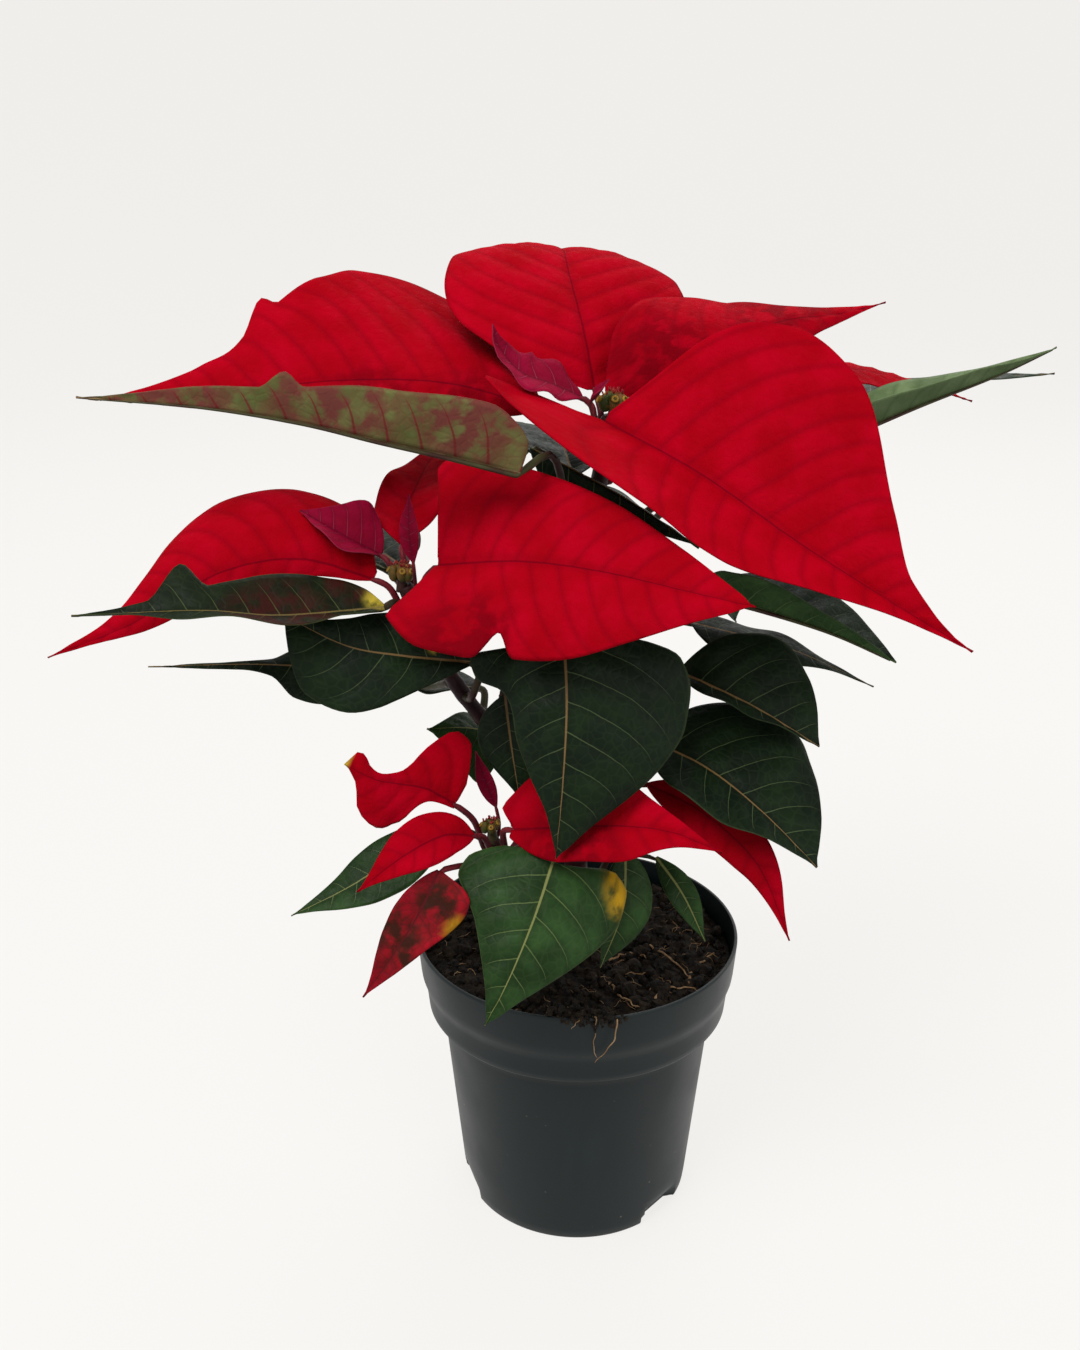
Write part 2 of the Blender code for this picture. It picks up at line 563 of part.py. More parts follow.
def skin(bm, rings, mirrored_from):
    """Triangles between neighbouring rings, split alike on both faces, and flat ends."""
    rows = [[bm.verts.new(Vector(p) * MM) for p in ring] for ring in rings]
    count = len(rows[0])
    for a, b in zip(rows, rows[1:]):
        for k in range(count):
            n = (k + 1) % count
            if k < mirrored_from:
                bm.faces.new((a[k], a[n], b[n]))
                bm.faces.new((a[k], b[n], b[k]))
            else:
                bm.faces.new((a[k], a[n], b[k]))
                bm.faces.new((a[n], b[n], b[k]))
    for ring, flip in ((rows[0], True), (rows[-1], False)):
        for k in range(count // 2 - 1):
            quad = (ring[k], ring[k + 1], ring[count - 2 - k], ring[count - 1 - k])
            for face in (quad[:3], (quad[0], quad[2], quad[3])):
                bm.faces.new(face[::-1] if flip else face)


def fineness(leaf):
    """Rows along the blade and columns in each half: more on a larger blade."""
    length = np.linalg.norm(np.diff(np.array(leaf["rib"], float), axis=0), axis=1).sum()
    rows = int(np.clip(round(length / ROW_LENGTH) + 4, LEAST_ROWS, MOST_ROWS))
    across = sum(leaf["width"])
    columns = 1 + (across > NARROW) + (across > WIDE)
    return rows, columns


def leaf_body(name, leaf):
    rows, columns = fineness(leaf)
    shares = np.linspace(0, 1, rows) ** ROW_EASE
    blade = blade_rings(leaf, shares, columns)
    stalk = stalk_rings(leaf, np.linspace(0, 1, STALK_ROWS + 1)[:-1], columns)
    bm = bmesh.new()
    skin(bm, np.concatenate([stalk, blade]), 2 * columns + 1)
    return new_object(name, bm, leaf["kind"])


def tube(name, points, first_radius, last_radius, sides, rows):
    shares = np.linspace(0, 1, rows)
    places, heading = route(points, shares)
    up = facing(heading, (0, -1, 0))
    right = np.cross(heading, up)
    turn = 2 * np.pi * np.arange(sides) / sides
    radius = np.interp(shares, [0, 1], [first_radius, last_radius])[:, None, None]
    rings = places[:, None] + radius * (
        np.cos(turn)[None, :, None] * right[:, None] + np.sin(turn)[None, :, None] * up[:, None]
    )
    bm = bmesh.new()
    rows = [[bm.verts.new(Vector(p) * MM) for p in ring] for ring in rings]
    for a, b in zip(rows, rows[1:]):
        for k in range(sides):
            n = (k + 1) % sides
            bm.faces.new((a[k], a[n], b[n], b[k]))
    bm.faces.new(rows[0][::-1])
    bm.faces.new(rows[-1])
    return new_object(name, bm, "stem")


def join_all(name, pieces):
    """One body from overlapping pieces."""
    first = pieces[0]
    group = bpy.data.collections.new(name + " pieces")
    for piece in pieces[1:]:
        group.objects.link(piece)
    union = first.modifiers.new("Union", "BOOLEAN")
    union.operation = "UNION"
    union.operand_type = "COLLECTION"
    union.collection = group
    union.solver = "EXACT"
    bpy.context.view_layer.objects.active = first
    bpy.ops.object.modifier_apply(modifier=union.name)
    for piece in pieces[1:]:
        bpy.data.objects.remove(piece)
    bpy.data.collections.remove(group)
    first.name = name
    return first


def turned(name, profile, sides, kind):
    """A closed body spun from (radius, height) points that start and end on the axis."""
    bm = bmesh.new()
    rings = []
    for radius, height in profile:
        if radius == 0:
            rings.append([bm.verts.new((0, 0, height * MM))] * sides)
            continue
        turn = 2 * np.pi * np.arange(sides) / sides
        points = zip(radius * np.cos(turn) * MM, radius * np.sin(turn) * MM)
        rings.append([bm.verts.new((x, y, height * MM)) for x, y in points])
    for a, b in zip(rings, rings[1:]):
        for k in range(sides):
            n = (k + 1) % sides
            corners = []
            for v in (a[k], a[n], b[n], b[k]):
                if v not in corners:
                    corners.append(v)
            bm.faces.new(corners)
    return new_object(name, bm, kind)


def outer_profile(inset):
    """The pot's outside from the rim to the base, moved inwards by the inset."""
    return [
        (RIM_RADIUS - inset, POT_HEIGHT - LIP_ROUND),
        (RIM_RADIUS - inset, POT_HEIGHT - 3 * LIP_ROUND),
        (BAND_FOOT_RADIUS - inset, POT_HEIGHT - BAND_HEIGHT),
        (COLLAR_FOOT_RADIUS - inset, POT_HEIGHT - COLLAR_HEIGHT),
        (BODY_TOP_RADIUS - inset, POT_HEIGHT - COLLAR_HEIGHT - SHOULDER_HEIGHT),
        (BASE_RADIUS + 0.2 - inset, BASE_ROUND),
    ]


def notch_cutters(grow, name):
    """Slanted blocks that dent the pot's lower edge, larger by the given amount."""
    made = []
    for number, degrees in enumerate(NOTCH_ANGLES):
        turn = np.radians(degrees)
        outward = np.array([np.cos(turn), np.sin(turn), 0])
        sideways = np.array([-np.sin(turn), np.cos(turn), 0])
        deep = BASE_RADIUS - NOTCH_DEPTH - grow
        half = NOTCH_WIDTH / 2 + grow
        high = NOTCH_HEIGHT + grow
        far = BASE_RADIUS + CUTTER_REACH
        section = [(deep, -CUTTER_DROP), (far, -CUTTER_DROP)]
        section += [(far, high + NOTCH_LEAN), (deep, NOTCH_FOOT + grow)]
        bm = bmesh.new()
        ends = []
        for side in (-half, half):
            corners = [outward * r + sideways * side + np.array([0, 0, z]) for r, z in section]
            ends.append([bm.verts.new(Vector(corner) * MM) for corner in corners])
        for k in range(4):
            n = (k + 1) % 4
            bm.faces.new((ends[0][k], ends[0][n], ends[1][n], ends[1][k]))
        bm.faces.new(ends[0])
        bm.faces.new(ends[1][::-1])
        made.append(new_object(f"{name}_{number}", bm, "pot"))
    return made


def cut(target, cutters):
    for cutter in cutters:
        modifier = target.modifiers.new("Cut", "BOOLEAN")
        modifier.operation = "DIFFERENCE"
        modifier.object = cutter
        modifier.solver = "EXACT"
        bpy.context.view_layer.objects.active = target
        bpy.ops.object.modifier_apply(modifier=modifier.name)
        bpy.data.objects.remove(cutter)


def pot():
    outside = [(0, 0), (BASE_RADIUS - BASE_ROUND, 0)]
    outside += outer_profile(0)[::-1]
    outside += [(RIM_RADIUS - LIP_ROUND, POT_HEIGHT), (0, POT_HEIGHT)]
    body = turned("pot", outside, POT_SIDES, "pot")
    cut(body, notch_cutters(0, "notch"))
    inside = [(0, FLOOR), (BASE_RADIUS - WALL, FLOOR)]
    inside += outer_profile(WALL)[-2::-1]
    inside += [(RIM_RADIUS - WALL, POT_HEIGHT + CUTTER_DROP), (0, POT_HEIGHT + CUTTER_DROP)]
    hollow = turned("hollow", inside, POT_SIDES, "pot")
    cut(hollow, notch_cutters(WALL, "notch_inner"))
    cut(body, [hollow])
    return body


def soil():
    """The root ball, with an uneven top and a plain hole for the stem."""
    floor = FLOOR + GAP
    high, band_foot, collar_foot, shoulder_foot = outer_profile(WALL + GAP)[1:5]
    share = (SOIL_LEVEL - band_foot[1]) / (high[1] - band_foot[1])
    edge = band_foot[0] + share * (high[0] - band_foot[0])
    profile = [(0, floor), (BASE_RADIUS - WALL - GAP, floor), shoulder_foot, collar_foot, band_foot]
    profile.append((edge, SOIL_LEVEL))
    hole = STEM_RADIUS + GAP
    for k in range(1, SOIL_RINGS):
        profile.append((edge + (hole - edge) * k / SOIL_RINGS, SOIL_LEVEL))
    profile += [(hole + BORE_COLLAR, SOIL_LEVEL), (0, SOIL_LEVEL)]
    body = turned("soil", profile, SOIL_SIDES, "soil")
    for vertex in body.data.vertices:
        x, y, z = vertex.co / MM
        if z > SOIL_LEVEL - GAP:
            lump = noise.noise(Vector((x, y, SOIL_SLICE)) / SOIL_LUMP_SIZE)
            fine = noise.noise(Vector((x, y, SOIL_FINE_SLICE)) / SOIL_FINE_SIZE)
            inner = np.clip((edge - np.hypot(x, y)) / SOIL_EDGE, 0, 1)
            vertex.co.z += SOIL_BUMP * (lump + fine / 2 + SOIL_MOUND) * inner * MM
    cut(body, notch_cutters(WALL + GAP, "notch_soil"))
    bore = tube("bore", BORE, hole, hole, BORE_SIDES, len(BORE))
    cut(body, [bore])
    return body


def stem():
    pieces = []
    for name, (points, first_radius, last_radius) in STEM.items():
        sides = STEM_SIDES if name == "trunk" else BRANCH_SIDES
        pieces.append(tube(name, points, first_radius, last_radius, sides, STEM_ROWS))
    return join_all("stem", pieces)


def flower_head(name, centre, radius, cups, seed):
    """A low mound of small egg-shaped cups on a short neck."""
    rng = np.random.default_rng(seed)
    pieces = []
    for k in range(cups):
        turn = k * GOLDEN_TURN + rng.uniform(-CUP_STRAY, CUP_STRAY)
        spread = radius * CUP_SPREAD * np.sqrt((k + CUP_STRAY) / cups)
        bm = bmesh.new()
        bmesh.ops.create_uvsphere(bm, u_segments=CUP_SIDES, v_segments=CUP_RINGS, radius=1)
        high = rng.uniform(*CUP_HALF_HEIGHT) * radius
        wide = rng.uniform(*CUP_HALF_WIDTH) * radius
        aside = Vector((spread * np.cos(turn), spread * np.sin(turn), -spread * MOUND_FALL))
        place = Vector(centre) + aside
        for v in bm.verts:
            v.co = (place + Vector((v.co.x * wide, v.co.y * wide, v.co.z * high))) * MM
        pieces.append(new_object(f"{name}_{k}", bm, "head"))
    return join_all(name, pieces)


def main():
    remove_startup_objects()
    pot()
    soil()
    stem()
    for seed, (name, (centre, radius, cups)) in enumerate(HEADS.items()):
        flower_head(name, centre, radius, cups, seed)
    for name, leaf in LEAVES.items():
        leaf_body(name, leaf)


main()
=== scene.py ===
# %% [markdown]
# # A poinsettia in its nursery pot
#
# The plain solids of this plant are already modelled: a pot, its soil, a branching stem,
# flower heads, red bracts and green leaves. This file dresses them. It loads the solids as a
# fixed frame, and puts a finer piece in the place of each one: thin veined blades, a moulded
# pot, crumbly peat and a bark-skinned stem. Lengths in the tables are millimetres.

import bpy
import numpy as np
from mathutils import Euler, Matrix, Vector, noise


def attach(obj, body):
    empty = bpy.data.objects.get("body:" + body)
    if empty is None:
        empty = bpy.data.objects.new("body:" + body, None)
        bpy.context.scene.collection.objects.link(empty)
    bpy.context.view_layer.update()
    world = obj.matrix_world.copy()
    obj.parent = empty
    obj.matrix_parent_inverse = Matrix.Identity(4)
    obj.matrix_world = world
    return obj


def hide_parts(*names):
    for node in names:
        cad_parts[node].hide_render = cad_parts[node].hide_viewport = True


MM = 0.001
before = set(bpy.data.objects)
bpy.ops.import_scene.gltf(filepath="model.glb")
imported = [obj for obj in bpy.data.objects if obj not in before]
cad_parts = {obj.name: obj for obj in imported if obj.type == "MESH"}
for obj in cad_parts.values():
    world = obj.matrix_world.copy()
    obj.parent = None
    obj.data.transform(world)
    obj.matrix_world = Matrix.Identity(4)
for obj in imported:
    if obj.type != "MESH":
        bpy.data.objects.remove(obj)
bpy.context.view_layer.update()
print("solids in the frame:", len(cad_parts))

# %% [markdown]
# ## Camera
#
# The plant was photographed from a little above the flowers, about half a metre away. The
# camera stands there, looks down by 21 degrees and is turned slightly left, with a lens of
# moderate length so that the pot narrows towards its base as it does in the photograph.

# %% Set the camera
CAMERA_PLACE = (0, -0.460, 0.386)
# Degrees from straight down, and degrees that the camera is turned to the left
CAMERA_TILT, CAMERA_TURN = 69.1, 1.75
# Focal length and width of the sensor, mm
LENS, SENSOR = 37.33, 36

aim = Euler((np.radians(CAMERA_TILT), 0, np.radians(CAMERA_TURN)))
bpy.ops.object.camera_add(location=CAMERA_PLACE, rotation=aim)
camera = bpy.context.object
camera.name = "camera"
camera.data.lens = LENS
camera.data.sensor_width = SENSOR
bpy.context.scene.camera = camera
bpy.context.scene.view_settings.view_transform = "Standard"
print("camera height, mm:", round(camera.location.z / MM))

# %% [markdown]
# ## Colours and nodes
#
# Every colour is written as the hex value that a screen shows, and one function turns it to
# the linear values that a shader needs. A second function adds one shader node with its
# settings and its links, so that each material below reads as a short list of steps. All
# materials end alike, with a colour, a roughness and a relief, and a third function links them.

# %% Helpers for colours and shader nodes
def linear(hex_colour):
    """The linear colour, with alpha, of a screen colour such as #B8001E."""
    channels = [int(hex_colour[i : i + 2], 16) / 255 for i in (1, 3, 5)]
    return [c / 12.92 if c <= 0.04045 else ((c + 0.055) / 1.055) ** 2.4 for c in channels] + [1]


def add_node(tree, kind, sockets, out=0, **settings):
    """Adds a shader node and gives one of its outputs. A socket gets a value or an output."""
    node = tree.nodes.new("ShaderNode" + kind)
    for name, value in settings.items():
        setattr(node, name, value)
    for name, value in sockets.items():
        if isinstance(value, bpy.types.NodeSocket):
            tree.links.new(value, node.inputs[name])
        else:
            node.inputs[name].default_value = value
    return node.outputs[out]


def new_material(name, **settings):
    """A material whose Principled shader has these socket values, with its tree and shader."""
    made = bpy.data.materials.new(name)
    made.use_nodes = True
    shader = made.node_tree.nodes["Principled BSDF"]
    for socket, value in settings.items():
        shader.inputs[socket.replace("_", " ")].default_value = value
    return made, made.node_tree, shader


def link_results(tree, shader, colour, roughness, relief):
    """Gives the shader its colour, its roughness and its bumps."""
    for socket, result in (("Base Color", colour), ("Roughness", roughness), ("Normal", relief)):
        tree.links.new(result, shader.inputs[socket])


# A Mix node's colour sockets have numbers: its share, its two colours and its result
SHARE, FIRST, SECOND, RESULT = 0, 6, 7, 2
COLOUR_MIX = dict(out=RESULT, data_type="RGBA")
# A Map Range node's five sockets are the value, its range and the range that it is turned to
EASED = dict(interpolation_type="SMOOTHSTEP")
print("velvet red, linear:", [round(c, 3) for c in linear("#B0001A")[:3]])

# %% [markdown]
# ## The studio
#
# The plant was photographed before bright white paper, with no line between floor and wall. A
# sheet that curves up at the back would do for that one view. This plant is also looked at from
# the side and from behind, so the paper is a wide round bowl with the plant in its middle: a
# disc whose edge is pulled up into a wall, with a bevel where the two meet. The paper glows, as
# if it were lit from behind, but its glow is kept off the plant's matt skin, which the lamps
# light.

# %% Build the studio
# Sizes in metres
BOWL_RADIUS, BOWL_HEIGHT, BOWL_BEND = 3.0, 3.4, 1.1
BOWL_SIDES, BEND_STEPS = 96, 24
SHARP_EDGE = np.radians(60)
PAPER_GLOW = 0.9

bpy.ops.object.select_all(action="DESELECT")
bpy.ops.mesh.primitive_circle_add(vertices=BOWL_SIDES, radius=BOWL_RADIUS, fill_type="NGON")
bowl = bpy.context.object
bowl.name = "studio_bowl"
bpy.ops.object.mode_set(mode="EDIT")
bpy.ops.mesh.select_mode(type="EDGE")
bpy.ops.mesh.select_all(action="SELECT")
bpy.ops.mesh.region_to_loop()
bpy.ops.mesh.extrude_region_move(TRANSFORM_OT_translate={"value": (0, 0, BOWL_HEIGHT)})
bpy.ops.mesh.select_all(action="SELECT")
bpy.ops.mesh.normals_make_consistent(inside=True)
bpy.ops.object.mode_set(mode="OBJECT")
bend = bowl.modifiers.new("Bend", "BEVEL")
bend.width = BOWL_BEND
bend.segments = BEND_STEPS
bend.limit_method = "ANGLE"
bend.angle_limit = SHARP_EDGE
bpy.ops.object.modifier_apply(modifier=bend.name)
bpy.ops.object.shade_smooth()

# Matt white paper lit from behind. Its own colour is dark, so the plant throws a faint shadow
paper, _, _ = new_material(
    "backlit_studio_paper", Roughness=0.9, Specular_IOR_Level=0.05, Base_Color=linear("#686868"),
    Emission_Color=linear("#F3F1EE"), Emission_Strength=PAPER_GLOW,
)
bowl.data.materials.append(paper)
bowl.visible_diffuse = False
print("bowl faces:", len(bowl.data.polygons))

# %% [markdown]
# ## Light
#
# The light in the photograph is soft and comes from everywhere, a little stronger from above and
# in front, so that even the folds of the leaves stay visible. Soft light comes from lamps that
# are large beside the plant. Here three round ones stand within two metres of it, and the room
# adds an even light to theirs.

# %% Light it
AIM = Vector((0, 0, 0.2))
ROOM_LIGHT = 0.34
# Each lamp: its place and its width in metres, and its power in watts
LAMPS = {
    "key_lamp": ((-0.6, -0.9, 1.8), 1.2, 26),
    "fill_lamp": ((1.1, -1.2, 0.8), 1.4, 5),
    "back_lamp": ((0.3, 1.1, 1.4), 1.2, 10),
}
for name, (place, size, watts) in LAMPS.items():
    bpy.ops.object.light_add(type="AREA", location=place)
    lamp = bpy.context.object
    lamp.name = name
    lamp.data.shape = "DISK"
    lamp.data.size = size
    lamp.data.energy = watts
    lamp.rotation_euler = (AIM - Vector(place)).to_track_quat("-Z", "Y").to_euler()
world = bpy.data.worlds.new("studio_room")
world.use_nodes = True
room = world.node_tree.nodes["Background"]
room.inputs["Color"].default_value = linear("#F6F5F4")
room.inputs["Strength"].default_value = ROOM_LIGHT
bpy.context.scene.world = world
print("lamps:", len(LAMPS), "power, W:", sum(watts for _, _, watts in LAMPS.values()))

# %% [markdown]
# ## Leaf and bract finishes
#
# A poinsettia's leaf has a thin blade with a strong midrib, side veins that run out from it
# and curve forwards near the margin, and a fine net between them. The red bracts are leaves
# too, with the same veins drawn more faintly. All of these share one shader, which reads two
# maps on each blade. The map called veins counts side veins along the blade and gives the
# share of the way out to the margin. The map called blade is in real metres. An attribute
# says how far a point is along the blade, and two more say where it yellows and where it is
# flushed. On the red bracts that flush is painted shade, dark crimson where a half lies in shadow.

# %% The shader that all blades share
# Half the width of a side vein, of its soft edge and of the painted shade in the crease along
# it, where 1 is the space between two side veins
VEIN_WIDTH, VEIN_SOFTNESS, CREASE_SHADE_WIDTH = 0.007, 0.020, 0.24
# Half the width of the midrib and the reach of the painted shade in the crease beside it, in metres
RIB_WIDTH, RIB_CREASE_SHADE = 0.00026, 0.005
# Cells of the net, blotches, yellow patches and grain, in metres. A real net is finer than the
# camera shows, so it is drawn coarser
NET_SIZE, BLOTCH_SIZE, PATCH_SIZE, GRAIN_SIZE = 0.0032, 0.016, 0.007, 0.0024
# Metres of relief that the net and the grain give
SKIN_RELIEF = 0.0003


def blade_material(name, dark, light, fold, vein, midrib, strength, roughness, net=0.03,
                   folds=0.45, breadth=1.0, patch="#C9B23A", blush="#7A1526", **settings):
    """Blotches, painted shade in the creases, yellow places, flush and painted shade, then the veins."""
    made, tree, shader = new_material(name, **settings)

    # The two maps, the three attributes and the patterns that all the rest is made from
    veins = add_node(tree, "UVMap", {}, uv_map="veins")
    blade = add_node(tree, "UVMap", {}, uv_map="blade")
    count = add_node(tree, "SeparateXYZ", {0: veins}).node.outputs
    place = add_node(tree, "SeparateXYZ", {0: blade}).node.outputs
    along = add_node(tree, "Attribute", {}, "Fac", attribute_name="along")
    yellow = add_node(tree, "Attribute", {}, "Fac", attribute_name="yellow")
    flush_and_shade_marks = add_node(tree, "Attribute", {}, "Fac", attribute_name="blush")
    cloud, grain, patches = (
        add_node(tree, "TexNoise", {"Vector": blade, "Scale": 1 / size, "Detail": detail})
        for size, detail in ((BLOTCH_SIZE, 4), (GRAIN_SIZE, 3), (PATCH_SIZE, 5))
    )
    cells = add_node(tree, "TexVoronoi", {"Vector": blade, "Scale": 1 / NET_SIZE},
                     "Distance", feature="DISTANCE_TO_EDGE")

    # How far from the nearest side vein, in shares of the space between two of them
    wobble = add_node(tree, "Math", {0: cloud, 1: 0.16, 2: -0.08}, operation="MULTIPLY_ADD")
    number = add_node(tree, "Math", {0: count[0], 1: wobble}, operation="ADD")
    gap = add_node(tree, "Math", {0: number, 1: 0.5}, operation="PINGPONG")
    rest = add_node(tree, "Math", {0: 1.15, 1: count[1]}, operation="SUBTRACT")
    spread = add_node(tree, "Math", {0: gap, 1: rest}, operation="DIVIDE")
    line = add_node(tree, "MapRange",
                    {0: spread, 1: VEIN_WIDTH * breadth, 2: (VEIN_WIDTH + VEIN_SOFTNESS) * breadth,
                     3: strength, 4: 0}, **EASED)
    fade = add_node(tree, "MapRange", {0: count[1], 1: 0.7, 2: 1.0, 3: 1, 4: 0.15}, **EASED)
    side_vein = add_node(tree, "Math", {0: line, 1: fade}, operation="MULTIPLY")
    # Painted shade in the crease along each side vein
    vein_crease_shade = add_node(tree, "MapRange", {0: gap, 1: 0.0, 2: CREASE_SHADE_WIDTH, 3: folds, 4: 0}, **EASED)

    # How far from the midrib, which narrows towards the tip
    aside = add_node(tree, "Math", {0: place[1]}, operation="ABSOLUTE")
    narrowing = add_node(tree, "Math", {0: 1.15, 1: along}, operation="SUBTRACT")
    out = add_node(tree, "Math", {0: aside, 1: narrowing}, operation="DIVIDE")
    rib = add_node(tree, "MapRange",
                   {0: out, 1: RIB_WIDTH, 2: 2.2 * RIB_WIDTH, 3: min(1, 1.5 * strength), 4: 0}, **EASED)
    # Painted shade in the crease beside the midrib
    rib_crease_shade = add_node(tree, "MapRange", {0: out, 1: 0.0, 2: RIB_CREASE_SHADE, 3: folds, 4: 0}, **EASED)

    # How much of each colour lies on each place
    blotch = add_node(tree, "MapRange", {0: cloud, 1: 0.35, 2: 0.7}, **EASED)
    speckle = add_node(tree, "Math", {0: grain, 1: 0.3}, operation="MULTIPLY")
    netting = add_node(tree, "MapRange", {0: cells, 1: 0.02, 2: 0.12, 3: net, 4: 0}, **EASED)
    ragged = add_node(tree, "MapRange", {0: patches, 1: 0.3, 2: 0.5}, **EASED)
    yellowed = add_node(tree, "Math", {0: yellow, 1: ragged}, operation="MULTIPLY")
    uneven = add_node(tree, "MapRange", {0: patches, 1: 0.4, 2: 0.58, 3: 0.25, 4: 1}, **EASED)
    # A flush mark gives a leaf its own red-brown flush, and a red bract its painted shade
    patchy_flush_and_shade = add_node(tree, "Math", {0: flush_and_shade_marks, 1: uneven}, operation="MULTIPLY")
    edge = {0: count[1], 1: 0.97, 2: 1.0, 3: 0, 4: 0.5 * strength}
    margin = add_node(tree, "MapRange", edge, **EASED)
    ground = {SHARE: blotch, FIRST: linear(dark), SECOND: linear(light)}
    colour = add_node(tree, "Mix", ground, **COLOUR_MIX)
    for share, added in (
        (speckle, dark), (vein_crease_shade, fold), (rib_crease_shade, fold), (netting, vein), (yellowed, patch),
        (patchy_flush_and_shade, blush), (side_vein, vein), (rib, midrib), (margin, vein),
    ):
        layer = {SHARE: share, FIRST: colour, SECOND: linear(added)}
        colour = add_node(tree, "Mix", layer, **COLOUR_MIX)

    # Its sheen varies with the grain, and the skin is puffed up a little in each cell of the net
    shine = {0: grain, 1: 0.3, 2: 0.7, 3: roughness - 0.06, 4: roughness + 0.08}
    sheen = add_node(tree, "MapRange", shine, **EASED)
    puff = add_node(tree, "MapRange", {0: cells, 1: 0.0, 2: 0.2, 3: 0, 4: 0.8}, **EASED)
    height = add_node(tree, "Math", {0: grain, 1: 0.35, 2: puff}, operation="MULTIPLY_ADD")
    relief = add_node(tree, "Bump", {"Height": height, "Strength": 0.25, "Distance": SKIN_RELIEF})
    link_results(tree, shader, colour, sheen, relief)
    return made


print("net cell, mm:", NET_SIZE / MM, "midrib, mm:", 2 * RIB_WIDTH / MM)

# %% [markdown]
# ## Colours of bracts and leaves
#
# Each finish is a pair: the upper skin of the blade and its underside, which is paler and less
# glossy. The red of a bract is nearly matt, like velvet, because the cells of its skin stand up
# in small domes. A green leaf is waxy, so it shines a little. The pairs differ only in numbers,
# so they are kept in one table, with the settings that most green skins share beside it.

# %% Bracts, leaves and their undersides
GREEN_UPPER = dict(strength=0.45, roughness=0.46, Specular_IOR_Level=0.1)
GREEN_UNDER = dict(strength=0.5, net=0.08, roughness=0.6, Specular_IOR_Level=0.08)
PALE_GREEN = dict(dark="#5A6E46", light="#788C60", fold="#4C603A", vein="#38502C", midrib="#B0B48A",
                  strength=0.5, Specular_IOR_Level=0.08)
FINISHES = {
    # Velvet red, with side veins only a little darker: it keeps its colour in light and shade. Its
    # crease colour and its flush colour are painted shade
    "bract": (
        dict(dark="#A80012", light="#BC001E", fold="#860012", vein="#880016", midrib="#3E0014",
             strength=0.3, folds=0.35, net=0.0, roughness=0.8, blush="#840011", Specular_IOR_Level=0.02),
        dict(dark="#8A0016", light="#A20A28", fold="#7A0016", vein="#700418", midrib="#7A1428",
             strength=0.4, net=0.0, roughness=0.8, Specular_IOR_Level=0.03),
    ),
    # A bract that is still small: magenta with pale veins
    "young_bract": (
        dict(dark="#860428", light="#A00A38", fold="#6A0422", vein="#B85870", midrib="#5A0820",
             strength=0.4, net=0.0, roughness=0.7, Specular_IOR_Level=0.04),
        dict(dark="#860E30", light="#9C244C", fold="#721032", vein="#B06076", midrib="#7C1E3A",
             strength=0.4, net=0.0, roughness=0.7, Specular_IOR_Level=0.05),
    ),
    # Half leaf and half bract: red where it was shaded from the green
    "mottled_bract": (
        dict(dark="#90041A", light="#B40C22", fold="#6A0C12", vein="#4A1018", midrib="#561016",
             strength=0.6, net=0.3, roughness=0.6, blush="#38180E", patch="#C08A18",
             Specular_IOR_Level=0.06),
        dict(dark="#6C1824", light="#86303E", fold="#5E2024", vein="#4E2224", midrib="#5A2A2C",
             strength=0.5, net=0.2, roughness=0.65, blush="#4E4030", patch="#B09040",
             Specular_IOR_Level=0.06),
    ),
    # Deep blue-green and half glossy, with pale tan veins
    "leaf": (
        dict(dark="#0A180B", light="#14270F", fold="#081408", vein="#6A7C50", midrib="#96764A",
             **GREEN_UPPER),
        dict(dark="#26402A", light="#385A38", fold="#223A26", vein="#647C58", midrib="#748460",
             **GREEN_UNDER),
    ),
    # A younger leaf low on the plant, fresher green
    "fresh_leaf": (
        dict(dark="#1A3212", light="#325226", fold="#14280E", vein="#829658", midrib="#9A9C5C",
             patch="#C89A14", **GREEN_UPPER),
        dict(dark="#304C28", light="#466638", fold="#2A4424", vein="#768C5A", midrib="#849264",
             **GREEN_UNDER),
    ),
    # A leaf so folded that its underside lies in shade, so that side is painted dark like the upper
    # one; both are flushed with brown
    "dark_leaf": (
        dict(dark="#0C180A", light="#18260E", fold="#0A1408", vein="#5C6A3C", midrib="#7A6A3C",
             strength=0.5, roughness=0.5, blush="#38140E", Specular_IOR_Level=0.1),
        dict(dark="#0E1C0C", light="#1C2C12", fold="#0C1808", vein="#5C6A3C", midrib="#86522C",
             strength=0.5, roughness=0.55, blush="#38140E", Specular_IOR_Level=0.08),
    ),
    # A leaf that turns its pale grey-green side to the light, and whose other side is as pale
    "pale_leaf": (
        dict(roughness=0.55, **PALE_GREEN),
        dict(roughness=0.6, **PALE_GREEN),
    ),
    # A leaf that shows its paler underside, where the folded half turns up
    "leaf_underside": (
        dict(dark="#0C1C0E", light="#182C16", fold="#0A160A", vein="#6A7C50", midrib="#96764A",
             **GREEN_UPPER),
        dict(dark="#2C4824", light="#466638", fold="#263E1E", vein="#768C58", midrib="#8C9C6C",
             **GREEN_UNDER | dict(roughness=0.58)),
    ),
    # The same underside, olive and flushed with red-brown along its raised veins
    "blushed_leaf": (
        dict(dark="#0A180B", light="#14260F", fold="#081408", vein="#6A7C50", midrib="#96764A",
             **GREEN_UPPER),
        dict(dark="#5E6C38", light="#7E8A50", fold="#6A4A36", vein="#7A2C2A", midrib="#A88A66",
             strength=0.9, folds=0.35, breadth=2.4, net=0.12, roughness=0.6, blush="#7A4038",
             Specular_IOR_Level=0.06),
    ),
}
blade_finishes = {}
for kind, (upper, lower) in FINISHES.items():
    blade_finishes[kind] = (
        blade_material(kind + "_upper_skin", **upper),
        blade_material(kind + "_under_skin", **lower),
    )
print("blade finishes:", len(blade_finishes) * 2)

